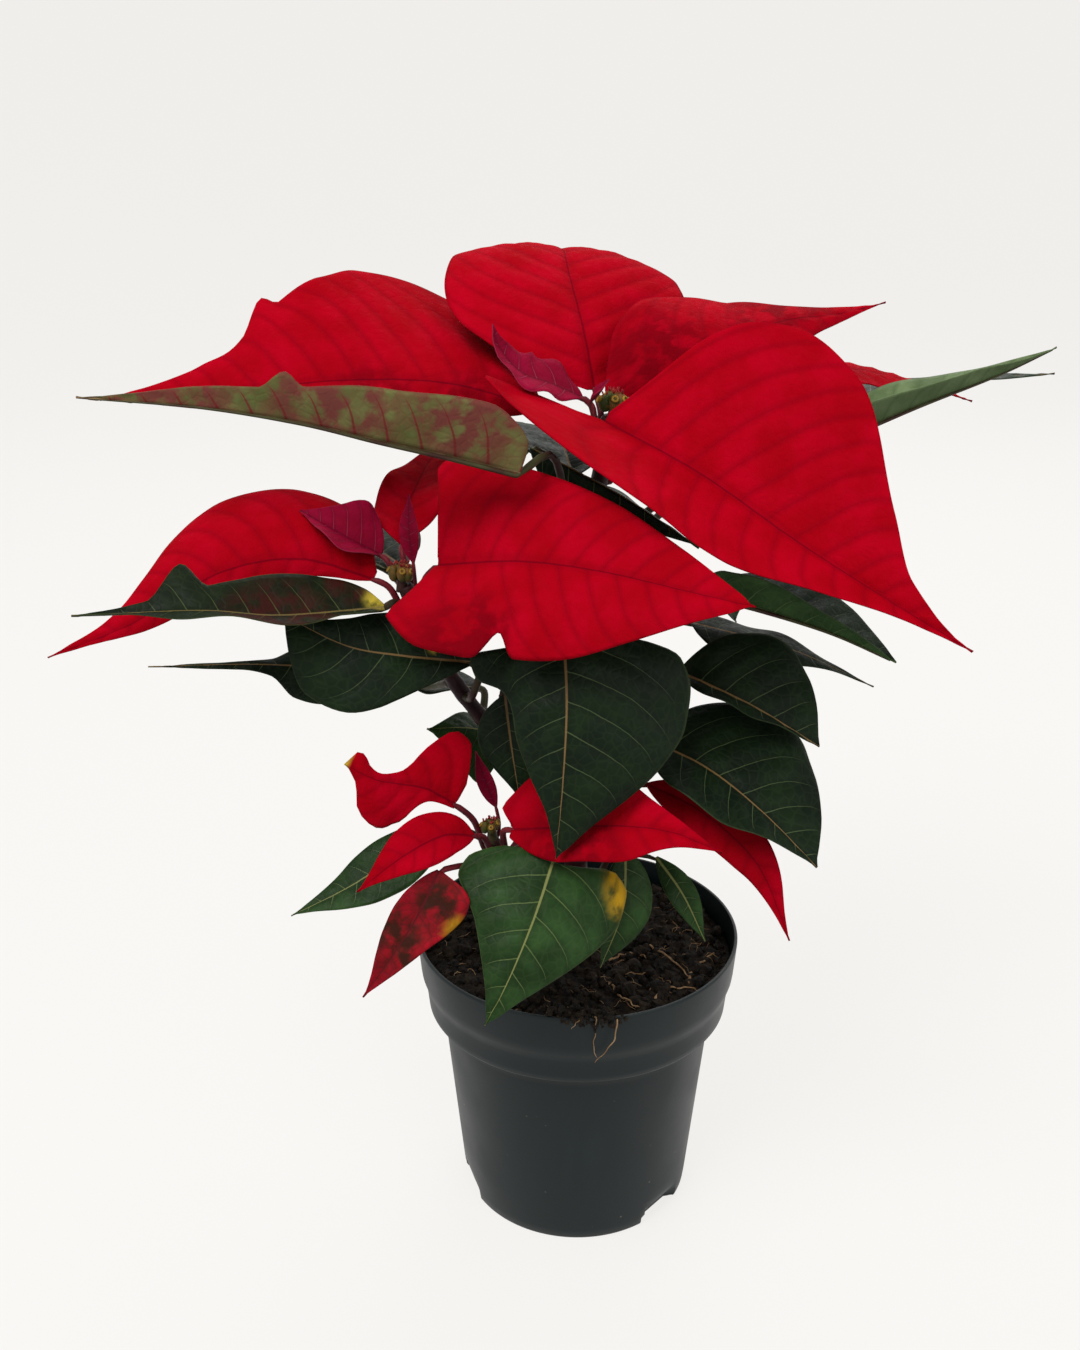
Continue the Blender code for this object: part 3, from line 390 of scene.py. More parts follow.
# %% [markdown]
# ## Finishes of the stalks, the bark and the cups
#
# These pieces are round, so their patterns have no direction along them. The finish follows the
# solid itself: it reads the piece's own coordinates, in metres, and each pattern's scale is one
# over a real size. Stalk, bark and cup are all a waxy skin in two mottled colours, so one
# function makes them and only the sizes and the colours differ.

# %% Stalk, bark and cups
def mottled_material(name, low, high, size, roughness, bump, **settings):
    """Two colours in soft blotches of that size, in metres, with relief of that height."""
    made, tree, shader = new_material(name, **settings)
    where = add_node(tree, "TexCoord", {}, "Object")
    cloud = add_node(tree, "TexNoise", {"Vector": where, "Scale": 1 / size, "Detail": 6})
    fine = add_node(tree, "TexNoise", {"Vector": where, "Scale": 6 / size, "Detail": 4})
    blotch = add_node(tree, "MapRange", {0: cloud, 1: 0.35, 2: 0.65}, **EASED)
    colours = {SHARE: blotch, FIRST: linear(low), SECOND: linear(high)}
    colour = add_node(tree, "Mix", colours, **COLOUR_MIX)
    shine = {0: fine, 1: 0.3, 2: 0.7, 3: roughness - 0.08, 4: roughness + 0.08}
    sheen = add_node(tree, "MapRange", shine, **EASED)
    relief = add_node(tree, "Bump", {"Height": fine, "Strength": 0.6, "Distance": bump})
    link_results(tree, shader, colour, sheen, relief)
    return made


WAXY = dict(Specular_IOR_Level=0.15)
BARK_BLOTCH = 0.010
# Smooth and waxy, wine red under the bracts and brown-green under the leaves
red_stalk = mottled_material("red_stalk_skin", "#4A0E18", "#7A1E28", 0.012, 0.5, 0.0002, **WAXY)
green_stalk = mottled_material("green_stalk_skin", "#3A201C", "#46462A", 0.014, 0.5, 0.0002, **WAXY)
# Young bark, purple-brown with a dull shine
bark = mottled_material("young_bark", "#2A1016", "#42201F", BARK_BLOTCH, 0.5, 0.0004, **WAXY)
# Waxy green-yellow cups with an orange tinge
cup_skin = mottled_material("waxy_cup", "#3E4A1C", "#7A5024", 0.004, 0.5, 0.0001, **WAXY)
gland_skin = mottled_material("nectar_gland", "#8C6A1C", "#A88430", 0.002, 0.4, 0.0001, **WAXY)
stamen_skin = mottled_material("red_stamen", "#7A1420", "#A8382C", 0.002, 0.5, 0.0001, **WAXY)
print("blotches on the bark, mm:", BARK_BLOTCH / MM)

# %% [markdown]
# ## Finish of the pot
#
# Nursery pots are injection-moulded from polypropylene. The plastic has a satin skin with hardly
# any texture, dyed a dark grey-green. What the eye reads on it is its use: a haze of dried water
# that runs down in faint streaks, and single specks of dust. A plain colour would look new.

# %% Moulded pot plastic
# Patches of haze and spacing of the dust, in metres, then streaks and grains for each metre
POT_HAZE, DUST_SPECK = 0.030, 0.0035
STREAKS, SKIN_GRAINS = 150, 900
# How much longer than wide a streak is, as the share by which its pattern is squeezed
STREAK_SQUEEZE = 0.08

pot_plastic, tree, shader = new_material("satin_polypropylene", IOR=1.49, Specular_IOR_Level=0.23)
where = add_node(tree, "TexCoord", {}, "Object")
haze = add_node(tree, "TexNoise", {"Vector": where, "Scale": 1 / POT_HAZE, "Detail": 5})
tall = add_node(tree, "Mapping", {"Vector": where, "Scale": (1, 1, STREAK_SQUEEZE)})
streaks = add_node(tree, "TexNoise", {"Vector": tall, "Scale": STREAKS, "Detail": 3})
dots = add_node(tree, "TexVoronoi", {"Vector": where, "Scale": 1 / DUST_SPECK})
specks = dots.node.outputs
chance = add_node(tree, "SeparateColor", {0: specks["Color"]})
lone = add_node(tree, "MapRange", {0: chance, 1: 0.94, 2: 0.97}, **EASED)
near = {0: specks["Distance"], 1: 0.05, 2: 0.16, 3: 0.5, 4: 0}
dot = add_node(tree, "MapRange", near, **EASED)
dust = add_node(tree, "Math", {0: lone, 1: dot}, operation="MULTIPLY")
cloudy = add_node(tree, "MapRange", {0: haze, 1: 0.4, 2: 0.75, 3: 0, 4: 0.4}, **EASED)
upright = add_node(tree, "MapRange", {0: streaks, 1: 0.3, 2: 0.7, 3: 0.4, 4: 1}, **EASED)
film = add_node(tree, "Math", {0: cloudy, 1: upright}, operation="MULTIPLY")
skins = {SHARE: film, FIRST: linear("#131E1F"), SECOND: linear("#222D2F")}
colour = add_node(tree, "Mix", skins, **COLOUR_MIX)
dusty = {SHARE: dust, FIRST: colour, SECOND: linear("#8C8C82")}
colour = add_node(tree, "Mix", dusty, **COLOUR_MIX)
satin = add_node(tree, "MapRange", {0: haze, 1: 0.3, 2: 0.7, 3: 0.36, 4: 0.48}, **EASED)
skin = add_node(tree, "TexNoise", {"Vector": where, "Scale": SKIN_GRAINS, "Detail": 2})
relief = add_node(tree, "Bump", {"Height": skin, "Strength": 0.12, "Distance": 0.0002})
link_results(tree, shader, colour, satin, relief)
print("pot shader nodes:", len(tree.nodes))

# %% [markdown]
# ## Finish of the peat and the roots
#
# Damp peat is almost black in its hollows, and brown and fibrous where a crumb has dried. Two
# patterns make it: lumps of a few millimetres for the browns, and threads finer than one
# millimetre for the fibres, which also give it its relief. The dry root threads are straw.

# %% Peat and roots
# Lumps and fibres, in metres
PEAT_LUMP, PEAT_THREAD = 0.0038, 0.0007

peat, tree, shader = new_material("damp_peat", Specular_IOR_Level=0.2)
where = add_node(tree, "TexCoord", {}, "Object")
rough_lumps = {"Vector": where, "Scale": 1 / PEAT_LUMP, "Detail": 8, "Roughness": 0.7}
lumps = add_node(tree, "TexNoise", rough_lumps)
fibres = {"Vector": where, "Scale": 1 / PEAT_THREAD, "Detail": 6, "Distortion": 1.5}
threads = add_node(tree, "TexNoise", fibres)
brown = add_node(tree, "MapRange", {0: lumps, 1: 0.4, 2: 0.66}, **EASED)
pale = add_node(tree, "MapRange", {0: threads, 1: 0.6, 2: 0.72, 3: 0, 4: 0.5}, **EASED)
soils = {SHARE: brown, FIRST: linear("#0C0A08"), SECOND: linear("#33281C")}
colour = add_node(tree, "Mix", soils, **COLOUR_MIX)
fibrous = {SHARE: pale, FIRST: colour, SECOND: linear("#6E5A40")}
colour = add_node(tree, "Mix", fibrous, **COLOUR_MIX)
matt = add_node(tree, "MapRange", {0: lumps, 1: 0.3, 2: 0.7, 3: 0.75, 4: 0.95}, **EASED)
relief = add_node(tree, "Bump", {"Height": threads, "Strength": 0.8, "Distance": 0.0006})
link_results(tree, shader, colour, matt, relief)
root_skin = mottled_material("dry_root", "#94704C", "#C4A078", 0.004, 0.8, 0.0001, **WAXY)
print("peat shader nodes:", len(tree.nodes))

# %% [markdown]
# ## The pot
#
# The pot is a thin plastic tumbler with a wide collar at the top and three dents in its foot,
# where water drains out. It could be spun from a profile, but pulling a disc up ring by ring
# keeps every step visible: the disc is the floor, each extrusion is one height of the outer
# wall, and past the lip the same extrusions run back down inside.

# %% Pot sizes and profile
# In millimetres. The band and the collar are measured down from the rim, and the shoulder is
# measured down from the collar's foot
RIM_RADIUS, POT_HEIGHT = 60.0, 109.0
BAND_HEIGHT, BAND_FOOT_RADIUS = 20.0, 57.2
COLLAR_HEIGHT, COLLAR_FOOT_RADIUS = 28.0, 56.4
SHOULDER_HEIGHT, BODY_TOP_RADIUS, BASE_RADIUS = 4.0, 51.0, 43.6
WALL, FLOOR = 1.2, 1.6
POT_SIDES = 192
BODY_LEAN = (BODY_TOP_RADIUS - BASE_RADIUS) / (POT_HEIGHT - COLLAR_HEIGHT - SHOULDER_HEIGHT)


def pull_ring(radius_from, radius_to, rise):
    """Extrudes the selected ring, moves it up and scales it to the new radius."""
    bpy.ops.mesh.extrude_region_move(TRANSFORM_OT_translate={"value": (0, 0, rise * MM)})
    share = radius_to / radius_from
    bpy.ops.transform.resize(value=(share, share, 1), center_override=(0, 0, 0))


def pot_profile():
    """(radius, height) from the foot, up the outside, over the lip and down the inside."""
    band_foot = POT_HEIGHT - BAND_HEIGHT
    collar_foot = POT_HEIGHT - COLLAR_HEIGHT
    shoulder_foot = collar_foot - SHOULDER_HEIGHT
    outside = [(BASE_RADIUS - 1.4, 0), (BASE_RADIUS - 0.5, 0.3), (BASE_RADIUS, 1.2)]
    for height in np.linspace(1.2, shoulder_foot, 24)[1:]:
        outside.append((BASE_RADIUS + BODY_LEAN * height, height))
    # The ledge under the collar, rounded at its root and at its edge
    for out, up in ((0.04, 0.1), (0.18, 0.24), (0.45, 0.42), (0.7, 0.6), (0.88, 0.78), (1.0, 1.0)):
        radius = BODY_TOP_RADIUS + (COLLAR_FOOT_RADIUS - BODY_TOP_RADIUS) * out
        outside.append((radius, shoulder_foot + SHOULDER_HEIGHT * up))
    for share in (0.25, 0.6, 1.0):
        radius = COLLAR_FOOT_RADIUS + (BAND_FOOT_RADIUS - COLLAR_FOOT_RADIUS) * share
        outside.append((radius, collar_foot + (band_foot - collar_foot) * share))
    for out, up in ((0.1, 0.07), (0.35, 0.17), (0.58, 0.27), (0.68, 0.38), (0.84, 0.65), (1.0, 0.94)):
        radius = BAND_FOOT_RADIUS + (RIM_RADIUS - BAND_FOOT_RADIUS) * out
        outside.append((radius, band_foot + BAND_HEIGHT * up))
    lip = [(0.0, 0.5), (0.25, 0.1), (0.7, 0.0), (1.1, 0.15)]
    lip = [(RIM_RADIUS - inwards, POT_HEIGHT - down) for inwards, down in lip]
    inside = [(radius - WALL - 0.1, height) for radius, height in outside[:2:-1]]
    return outside + lip + inside + [(BASE_RADIUS - 2 * WALL, FLOOR)]


profile = pot_profile()
print("pot profile points:", len(profile))

# %% [markdown]
# ## Pulling the wall up
#
# The disc is a fan of triangles with one vertex in its middle. Only its edge is selected, and
# then each step extrudes the edge, lifts it and scales it. The last ring is the inner floor,
# which is filled and divided into a fan again, so that no face is a polygon with 192 sides.

# %% Pull the pot up, ring by ring
bpy.ops.object.select_all(action="DESELECT")
bpy.ops.mesh.primitive_circle_add(vertices=POT_SIDES, radius=profile[0][0] * MM, fill_type="TRIFAN")
pot = bpy.context.object
pot.name = "moulded_pot"
for face in pot.data.polygons:
    face.select = False
for vertex in pot.data.vertices:
    vertex.select = vertex.co.length > profile[0][0] * MM / 2
for edge in pot.data.edges:
    edge.select = all(pot.data.vertices[i].select for i in edge.vertices)
bpy.ops.object.mode_set(mode="EDIT")
bpy.ops.mesh.select_mode(type="EDGE")
for (radius_from, low), (radius_to, high) in zip(profile, profile[1:]):
    pull_ring(radius_from, radius_to, high - low)
bpy.ops.mesh.edge_face_add()
bpy.ops.mesh.poke()
bpy.ops.mesh.select_all(action="SELECT")
bpy.ops.mesh.normals_make_consistent(inside=False)
bpy.ops.object.mode_set(mode="OBJECT")
print("pot rings:", len(profile), "faces:", len(pot.data.polygons))

# %% [markdown]
# ## Dents in the foot
#
# Three shallow dents in the foot let water drain from under the pot. They could be cut out with
# a second shape, but the mould presses them into the wall, inner side and all. So every vertex
# near a dent is pushed in to the dent's sloping face, and the wall keeps its thickness there.

# %% Press the three dents into its foot
# Where they are, in degrees, and how far up they may reach, in millimetres
NOTCH_ANGLES = (80.0, 200.0, 320.0)
NOTCH_TOP = 16.0
# Half the width of a dent, how deep it is at its foot, up to which height, and its slope
NOTCH_HALF_WIDTH, NOTCH_DEPTH, NOTCH_FOOT, NOTCH_LEAN = 12.0, 4.4, 2.0, 0.78
# Where the dent starts to run out at its sides, where it has run out, and by how much
NOTCH_FADE_FROM, NOTCH_FADE_TO, NOTCH_FADE = NOTCH_HALF_WIDTH - 5, NOTCH_HALF_WIDTH + 2.5, 8
SMOOTH_ANGLE = np.radians(35)


def smooth_step(value, low, high):
    """0 below low, 1 above high, and a soft rise between them."""
    t = np.clip((value - low) / (high - low), 0, 1)
    return t * t * (3 - 2 * t)


for vertex in pot.data.vertices:
    x, y, z = vertex.co / MM
    inner = z > FLOOR - 0.1 and np.hypot(x, y) < BASE_RADIUS + BODY_LEAN * z - 0.6 * WALL
    for degrees in NOTCH_ANGLES:
        turn = np.radians(degrees)
        out = x * np.cos(turn) + y * np.sin(turn)
        side = abs(y * np.cos(turn) - x * np.sin(turn))
        deepest = BASE_RADIUS - NOTCH_DEPTH + NOTCH_LEAN * max(z - NOTCH_FOOT, 0) - (WALL if inner else 0)
        limit = deepest + NOTCH_FADE * smooth_step(side, NOTCH_FADE_FROM, NOTCH_FADE_TO)
        if out > limit and z < NOTCH_TOP:
            vertex.co.x += (limit - out) * np.cos(turn) * MM
            vertex.co.y += (limit - out) * np.sin(turn) * MM
bpy.ops.object.shade_smooth_by_angle(angle=SMOOTH_ANGLE)
pot.data.materials.append(pot_plastic)
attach(pot, "root")
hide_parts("pot")
print("pot dents:", len(NOTCH_ANGLES))

# %% [markdown]
# ## Bed of peat
#
# The peat has shrunk a little below the lip, and its top is lumpy. The bed is a flat grid whose
# square corners are pulled in to a circle, which keeps all its faces about the same size, as a
# fan would not. A sum of three noises lifts it: lumps of thirteen millimetres, finer ones of
# four, and grit. Its edge is then pulled down in rings that follow the inside of the pot.

# %% The bed of peat
SOIL_LEVEL, SOIL_RADIUS = 99.0, 57.6
SOIL_CELLS = 110
# Radius and height of each ring below the top: under the rim, past the ledge, down the body, and
# inside the dents of the foot
SOIL_RINGS = ((55.4, 88.0), (54.6, 81.8), (49.0, 76.0), (43.6, 24.0), (36.0, 22.0), (36.0, 2.2))
rng = np.random.default_rng(7)


def soil_height(x, y):
    """Height of the peat's top at a place, in millimetres: broad lumps, then finer ones."""
    lump = noise.noise(Vector((x, y, 3.0)) / 13)
    fine = noise.noise(Vector((x, y, 9.0)) / 4.3)
    grit = noise.noise(Vector((x, y, 5.0)) / 1.6)
    inner = np.clip((SOIL_RADIUS - np.hypot(x, y)) / 6, 0, 1)
    return SOIL_LEVEL + (2.6 * (lump + 0.5 * fine + 0.6) + 0.9 * grit) * inner + 1.2 * abs(fine)


bpy.ops.object.select_all(action="DESELECT")
bpy.ops.mesh.primitive_grid_add(x_subdivisions=SOIL_CELLS, y_subdivisions=SOIL_CELLS, size=2)
bed = bpy.context.object
bed.name = "peat_bed"
for vertex in bed.data.vertices:
    u, v, _ = vertex.co
    reach = max(abs(u), abs(v))
    turn = np.arctan2(v, u)
    x, y = SOIL_RADIUS * reach * np.cos(turn), SOIL_RADIUS * reach * np.sin(turn)
    vertex.co = Vector((x, y, soil_height(x, y))) * MM
bpy.ops.object.mode_set(mode="EDIT")
bpy.ops.mesh.select_all(action="SELECT")
bpy.ops.mesh.region_to_loop()
for low_radius, low in SOIL_RINGS:
    bpy.ops.mesh.extrude_region_move()
    bpy.ops.object.mode_set(mode="OBJECT")
    for vertex in bed.data.vertices:
        if vertex.select:
            flat = Vector((vertex.co.x, vertex.co.y, 0)).normalized() * low_radius
            vertex.co = Vector((flat.x, flat.y, low)) * MM
    bpy.ops.object.mode_set(mode="EDIT")
bpy.ops.mesh.edge_face_add()
bpy.ops.mesh.select_all(action="SELECT")
bpy.ops.mesh.normals_make_consistent(inside=False)
bpy.ops.object.mode_set(mode="OBJECT")
bpy.ops.object.shade_smooth()
bed.data.materials.append(peat)
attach(bed, "root")
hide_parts("soil")
print("peat faces:", len(bed.data.polygons))

# %% [markdown]
# ## Loose crumbs
#
# Crumbs lie all over the peat, and one clump of them has spilled onto the rim. Five small
# stones are made from balls that a noise has dented, then each is copied some four hundred
# times, with its own size and turn. The turns are drawn from a fixed seed, so the same crumbs
# come out each time. One mesh holds them all, because two thousand objects would be slow.

# %% Loose crumbs
STONES, CRUMBS, CLUMP_CRUMBS = 5, 1700, 260
# The middle of the clump on the rim, and how far its crumbs stray from it
CLUMP_PLACE, CLUMP_SPREAD = (3.0, -57.4, 108.6), (5.0, 1.7, 1.0)
# The widest turn that is drawn for a crumb: a full one, near enough
CRUMB_TURN = 6.28


def stone(name, seed):
    """One rough crumb of unit size."""
    bpy.ops.object.select_all(action="DESELECT")
    bpy.ops.mesh.primitive_ico_sphere_add(subdivisions=2, radius=1)
    made = bpy.context.object
    made.name = name
    for vertex in made.data.vertices:
        push = 1 + 0.55 * noise.noise(vertex.co * 1.3 + Vector((seed, 0, 0)))
        push += 0.3 * noise.noise(vertex.co * 3.1 + Vector((0, seed, 0)))
        vertex.co *= push
    return made


def scattered(name, models, places):
    """One mesh of many copies of the models: each place is (position, three radii, turn)."""
    corners, faces, start = [], [], 0
    for number, (position, radii, turn) in enumerate(places):
        model = models[number % len(models)]
        turned = turn.to_matrix()
        for vertex in model.data.vertices:
            local = Vector((vertex.co.x * radii[0], vertex.co.y * radii[1], vertex.co.z * radii[2]))
            corners.append((Vector(position) + turned @ local) * MM)
        faces += [[start + i for i in face.vertices] for face in model.data.polygons]
        start += len(model.data.vertices)
    mesh = bpy.data.meshes.new(name)
    mesh.from_pydata(corners, [], faces)
    made = bpy.data.objects.new(name, mesh)
    bpy.context.scene.collection.objects.link(made)
    return made


stones = [stone(f"stone_{seed}", seed * 5.0) for seed in range(STONES)]
places = []
for _ in range(CRUMBS):
    reach, turn = (SOIL_RADIUS - 1.0) * np.sqrt(rng.uniform()), rng.uniform(0, 2 * np.pi)
    x, y = reach * np.cos(turn), reach * np.sin(turn)
    size = 0.5 + 2.1 * rng.uniform() ** 3
    radii = size * rng.uniform(0.7, 1.3, 3)
    tilt = Euler(rng.uniform(0, CRUMB_TURN, 3))
    places.append(((x, y, soil_height(x, y) + 0.25 * size), radii, tilt))
for _ in range(CLUMP_CRUMBS):
    place = np.array(CLUMP_PLACE) + rng.normal(0, 1, 3) * CLUMP_SPREAD
    radii = rng.uniform(0.35, 1.2) * rng.uniform(0.7, 1.3, 3)
    places.append((place, radii, Euler(rng.uniform(0, CRUMB_TURN, 3))))
crumbs = scattered("peat_crumbs", stones, places)
for model in stones:
    bpy.data.objects.remove(model)
crumbs.data.materials.append(peat)
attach(crumbs, "root")
print("crumbs:", len(places), "faces:", len(crumbs.data.polygons))

# %% [markdown]
# ## Curves and tubes
#
# Stalks, branches and roots are all round rods along a curve, thinner at one end. Each is a
# flat grid rolled into a tube: the rows of the grid follow the curve, and its columns go round
# it. That keeps the mesh even, and it can swell wherever the plant does. The curve itself is
# worked out first: it passes all the points that it is given, and is divided into even steps.

# %% Curves
# Straight pieces into which a curve is divided between two of its points
CURVE_STEPS = 24


def unit(vectors):
    """The same directions with a length of one."""
    return vectors / np.linalg.norm(vectors, axis=-1, keepdims=True)


def eased(table, u):
    """A smooth curve through the table's points that adds no bumps between them."""
    x, y = np.array(table, float).T
    step = np.diff(x)
    slope = np.diff(y) / step
    bend = np.zeros(len(x))
    same = slope[1:] * slope[:-1] > 0
    sums = np.where(same, slope[1:] + slope[:-1], 1)
    bend[1:-1] = np.where(same, 2 * slope[1:] * slope[:-1] / sums, 0)
    bend[0] = slope[0]
    i = np.clip(np.searchsorted(x, u) - 1, 0, len(step) - 1)
    t = (u - x[i]) / step[i]
    rest = 1 - t
    return (
        rest**2 * (1 + 2 * t) * y[i]
        + t * rest**2 * step[i] * bend[i]
        + t**2 * (3 - 2 * t) * y[i + 1]
        - t**2 * rest * step[i] * bend[i + 1]
    )


def route(points, shares):
    """Places along a smooth curve through the points, and the curve's direction there."""
    p = np.array(points, float)
    if len(p) == 2:
        p = np.array([p[0], (p[0] + p[1]) / 2, p[1]])
    ends = np.vstack([2 * p[0] - p[1], p, 2 * p[-1] - p[-2]])
    t = np.linspace(0, 1, CURVE_STEPS, endpoint=False)[:, None]
    spans = []
    for a, b, c, d in zip(ends, ends[1:], ends[2:], ends[3:]):
        spans.append(b + 0.5 * t * (c - a + t * (2 * a - 5 * b + 4 * c - d + t * (3 * b - a - 3 * c + d))))
    curve = np.vstack(spans + [p[-1:]])
    run = np.concatenate([[0], np.cumsum(np.linalg.norm(np.diff(curve, axis=0), axis=1))])
    direction = unit(np.gradient(curve, axis=0))
    wanted = np.asarray(shares) * run[-1]
    places = np.stack([np.interp(wanted, run, curve[:, k]) for k in range(3)], axis=1)
    heading = np.stack([np.interp(wanted, run, direction[:, k]) for k in range(3)], axis=1)
    return places, unit(heading)


def facing(directions, face):
    """The face direction made square to each direction."""
    face = np.array(face, float)
    return unit(face - (directions @ face)[:, None] * directions)


bow, _ = route([(0, 0, 0), (10, 5, 0), (20, 0, 0)], [0.25, 0.5])
print("a bow of 20 mm, at a quarter and halfway:", [place.round(1).tolist() for place in bow])

# %% Grids rolled into tubes
TUBE_SIDES = 10


def moved_grid(name, rows, columns, places):
    """A grid primitive whose vertices are moved to places, an array of rows by columns."""
    bpy.ops.object.select_all(action="DESELECT")
    bpy.ops.mesh.primitive_grid_add(x_subdivisions=columns, y_subdivisions=rows, size=2)
    made = bpy.context.object
    made.name = name
    flat = np.zeros(len(made.data.vertices) * 3)
    made.data.vertices.foreach_get("co", flat)
    flat = flat.reshape(-1, 3)
    column = np.rint((flat[:, 0] + 1) / 2 * columns).astype(int)
    row = np.rint((flat[:, 1] + 1) / 2 * rows).astype(int)
    made.data.vertices.foreach_set("co", (places[row, column] * MM).ravel())
    return made, row, column


def tube(name, centres, radii, sides=TUBE_SIDES, face=(0.1, -1, 0.2)):
    """A closed rod through the centres, rolled from a grid, with its own radius at each."""
    centres = np.asarray(centres, float)
    heading = unit(np.gradient(centres, axis=0))
    up = facing(heading, face)
    right = np.cross(heading, up)
    turn = -2 * np.pi * np.arange(sides + 1) / sides
    spokes = np.cos(turn)[None, :, None] * right[:, None] + np.sin(turn)[None, :, None] * up[:, None]
    places = centres[:, None] + np.asarray(radii)[:, None, None] * spokes
    made, _, _ = moved_grid(name, len(centres) - 1, sides, places)
    bpy.ops.object.mode_set(mode="EDIT")
    bpy.ops.mesh.select_all(action="SELECT")
    bpy.ops.mesh.remove_doubles(threshold=1e-6)
    bpy.ops.mesh.select_all(action="DESELECT")
    bpy.ops.mesh.select_non_manifold()
    bpy.ops.mesh.edge_face_add()
    bpy.ops.mesh.select_all(action="SELECT")
    bpy.ops.mesh.normals_make_consistent(inside=False)
    bpy.ops.object.mode_set(mode="OBJECT")
    bpy.ops.object.shade_smooth()
    return made


def joined(name, parts):
    """The parts as one object."""
    bpy.ops.object.select_all(action="DESELECT")
    for part in parts:
        part.select_set(True)
    bpy.context.view_layer.objects.active = parts[0]
    bpy.ops.object.join()
    bpy.context.object.name = name
    return bpy.context.object


print("sides of a tube, where none are given:", TUBE_SIDES)

# %% [markdown]
# ## Roots
#
# Dry roots lie across the peat, and three hang over the rim where the clump has spilled. The
# roots that show in the photograph are placed one by one, and a hundred and fifty hairs are
# strewn between them. Each wavers a little along its way, because a straight one looks like
# wire.

# %% Roots across the peat
# Each root: the places that it passes, and its radius
ROOTS = (
    (((12, -13), (19, -4), (26, -10)), 0.42),
    (((27, -3), (33, -9), (40, -19), (42, -26)), 0.42),
    (((40, -27), (42, -18), (48, -11), (53, -3)), 0.55),
    (((28, -37), (31, -30), (40, -28), (46, -31)), 0.5),
    (((12, -28), (15, -35), (18, -41), (22, -44)), 0.45),
    (((18, -22), (27, -20), (34, -26)), 0.28),
    (((-34, -40), (-26, -46), (-20, -42)), 0.28),
)
RIM_ROOTS = (
    (((13, -56.5, 107.5), (13.6, -59.6, 109.6), (13.6, -61.4, 106), (12.6, -61.0, 101),
      (9.8, -60.3, 96), (6.5, -59.9, 91.5)), 0.32),
    (((5, -56.5, 107.8), (6.6, -60.2, 109.6), (6.5, -61.4, 105), (6.0, -60.6, 98),
      (7.2, -60.2, 93.7)), 0.26),
    (((2, -57.5, 108.0), (1.0, -60.6, 109.2), (-1.6, -61.5, 106.0)), 0.22),
)
HAIR_ROOTS, HAIR_RADIUS = 150, 0.13
# Rings along a root, along one over the rim, and along a hair, and the sides of the first two
RINGS, RIM_RINGS, HAIR_RINGS, ROOT_SIDES = 34, 26, 6, 6

parts = []
for number, (points, radius) in enumerate(ROOTS):
    lifted = [(x, y, soil_height(x, y) + 1.3 + 0.5 * (-1) ** k) for k, (x, y) in enumerate(points)]
    centres, _ = route(lifted, np.linspace(0, 1, RINGS))
    centres = centres + 0.35 * np.sin(np.arange(RINGS)[:, None] * (0.9, 1.1, 0.7) + number)
    parts.append(tube(f"root_{number}", centres, radius * np.linspace(1, 0.4, RINGS), ROOT_SIDES))
for number, (points, radius) in enumerate(RIM_ROOTS):
    centres, _ = route(points, np.linspace(0, 1, RIM_RINGS))
    # The first four rings stay where they are, inside the clump
    centres[4:] += 0.18 * np.sin(np.arange(RIM_RINGS - 4)[:, None] * (0.9, 0.5, 0.7))
    parts.append(tube(f"rim_root_{number}", centres, radius * np.linspace(1, 0.35, RIM_RINGS), ROOT_SIDES))
for number in range(HAIR_ROOTS):
    reach, turn = 50 * np.sqrt(rng.uniform()), rng.uniform(0, 2 * np.pi)
    x, y = reach * np.cos(turn), reach * np.sin(turn)
    heading, length = rng.uniform(0, 2 * np.pi), rng.uniform(2.5, 8)
    span = np.linspace(0, 1, HAIR_RINGS)
    bendy = heading + span * rng.uniform(-1.5, 1.5)
    px = x + length * span * np.cos(bendy)
    py = y + length * span * np.sin(bendy)
    pz = [soil_height(a, b) + 0.5 + 0.8 * np.sin(np.pi * s) for a, b, s in zip(px, py, span)]
    radii = HAIR_RADIUS * np.linspace(1, 0.5, HAIR_RINGS)
    parts.append(tube(f"hair_{number}", np.stack([px, py, pz], 1), radii, 4))
roots = joined("dry_roots", parts)
roots.data.materials.append(root_skin)
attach(roots, "root")
print("roots:", len(parts), "faces:", len(roots.data.polygons))

# %% [markdown]
# ## How the plant is laid out
#
# The next tables repeat the layout of the plain solids: the outline of each kind of blade, the
# branches, the flower heads, and for every blade its rib, the width of each half and the angle
# at which that half rises. Building the fine pieces from the same numbers keeps their form.

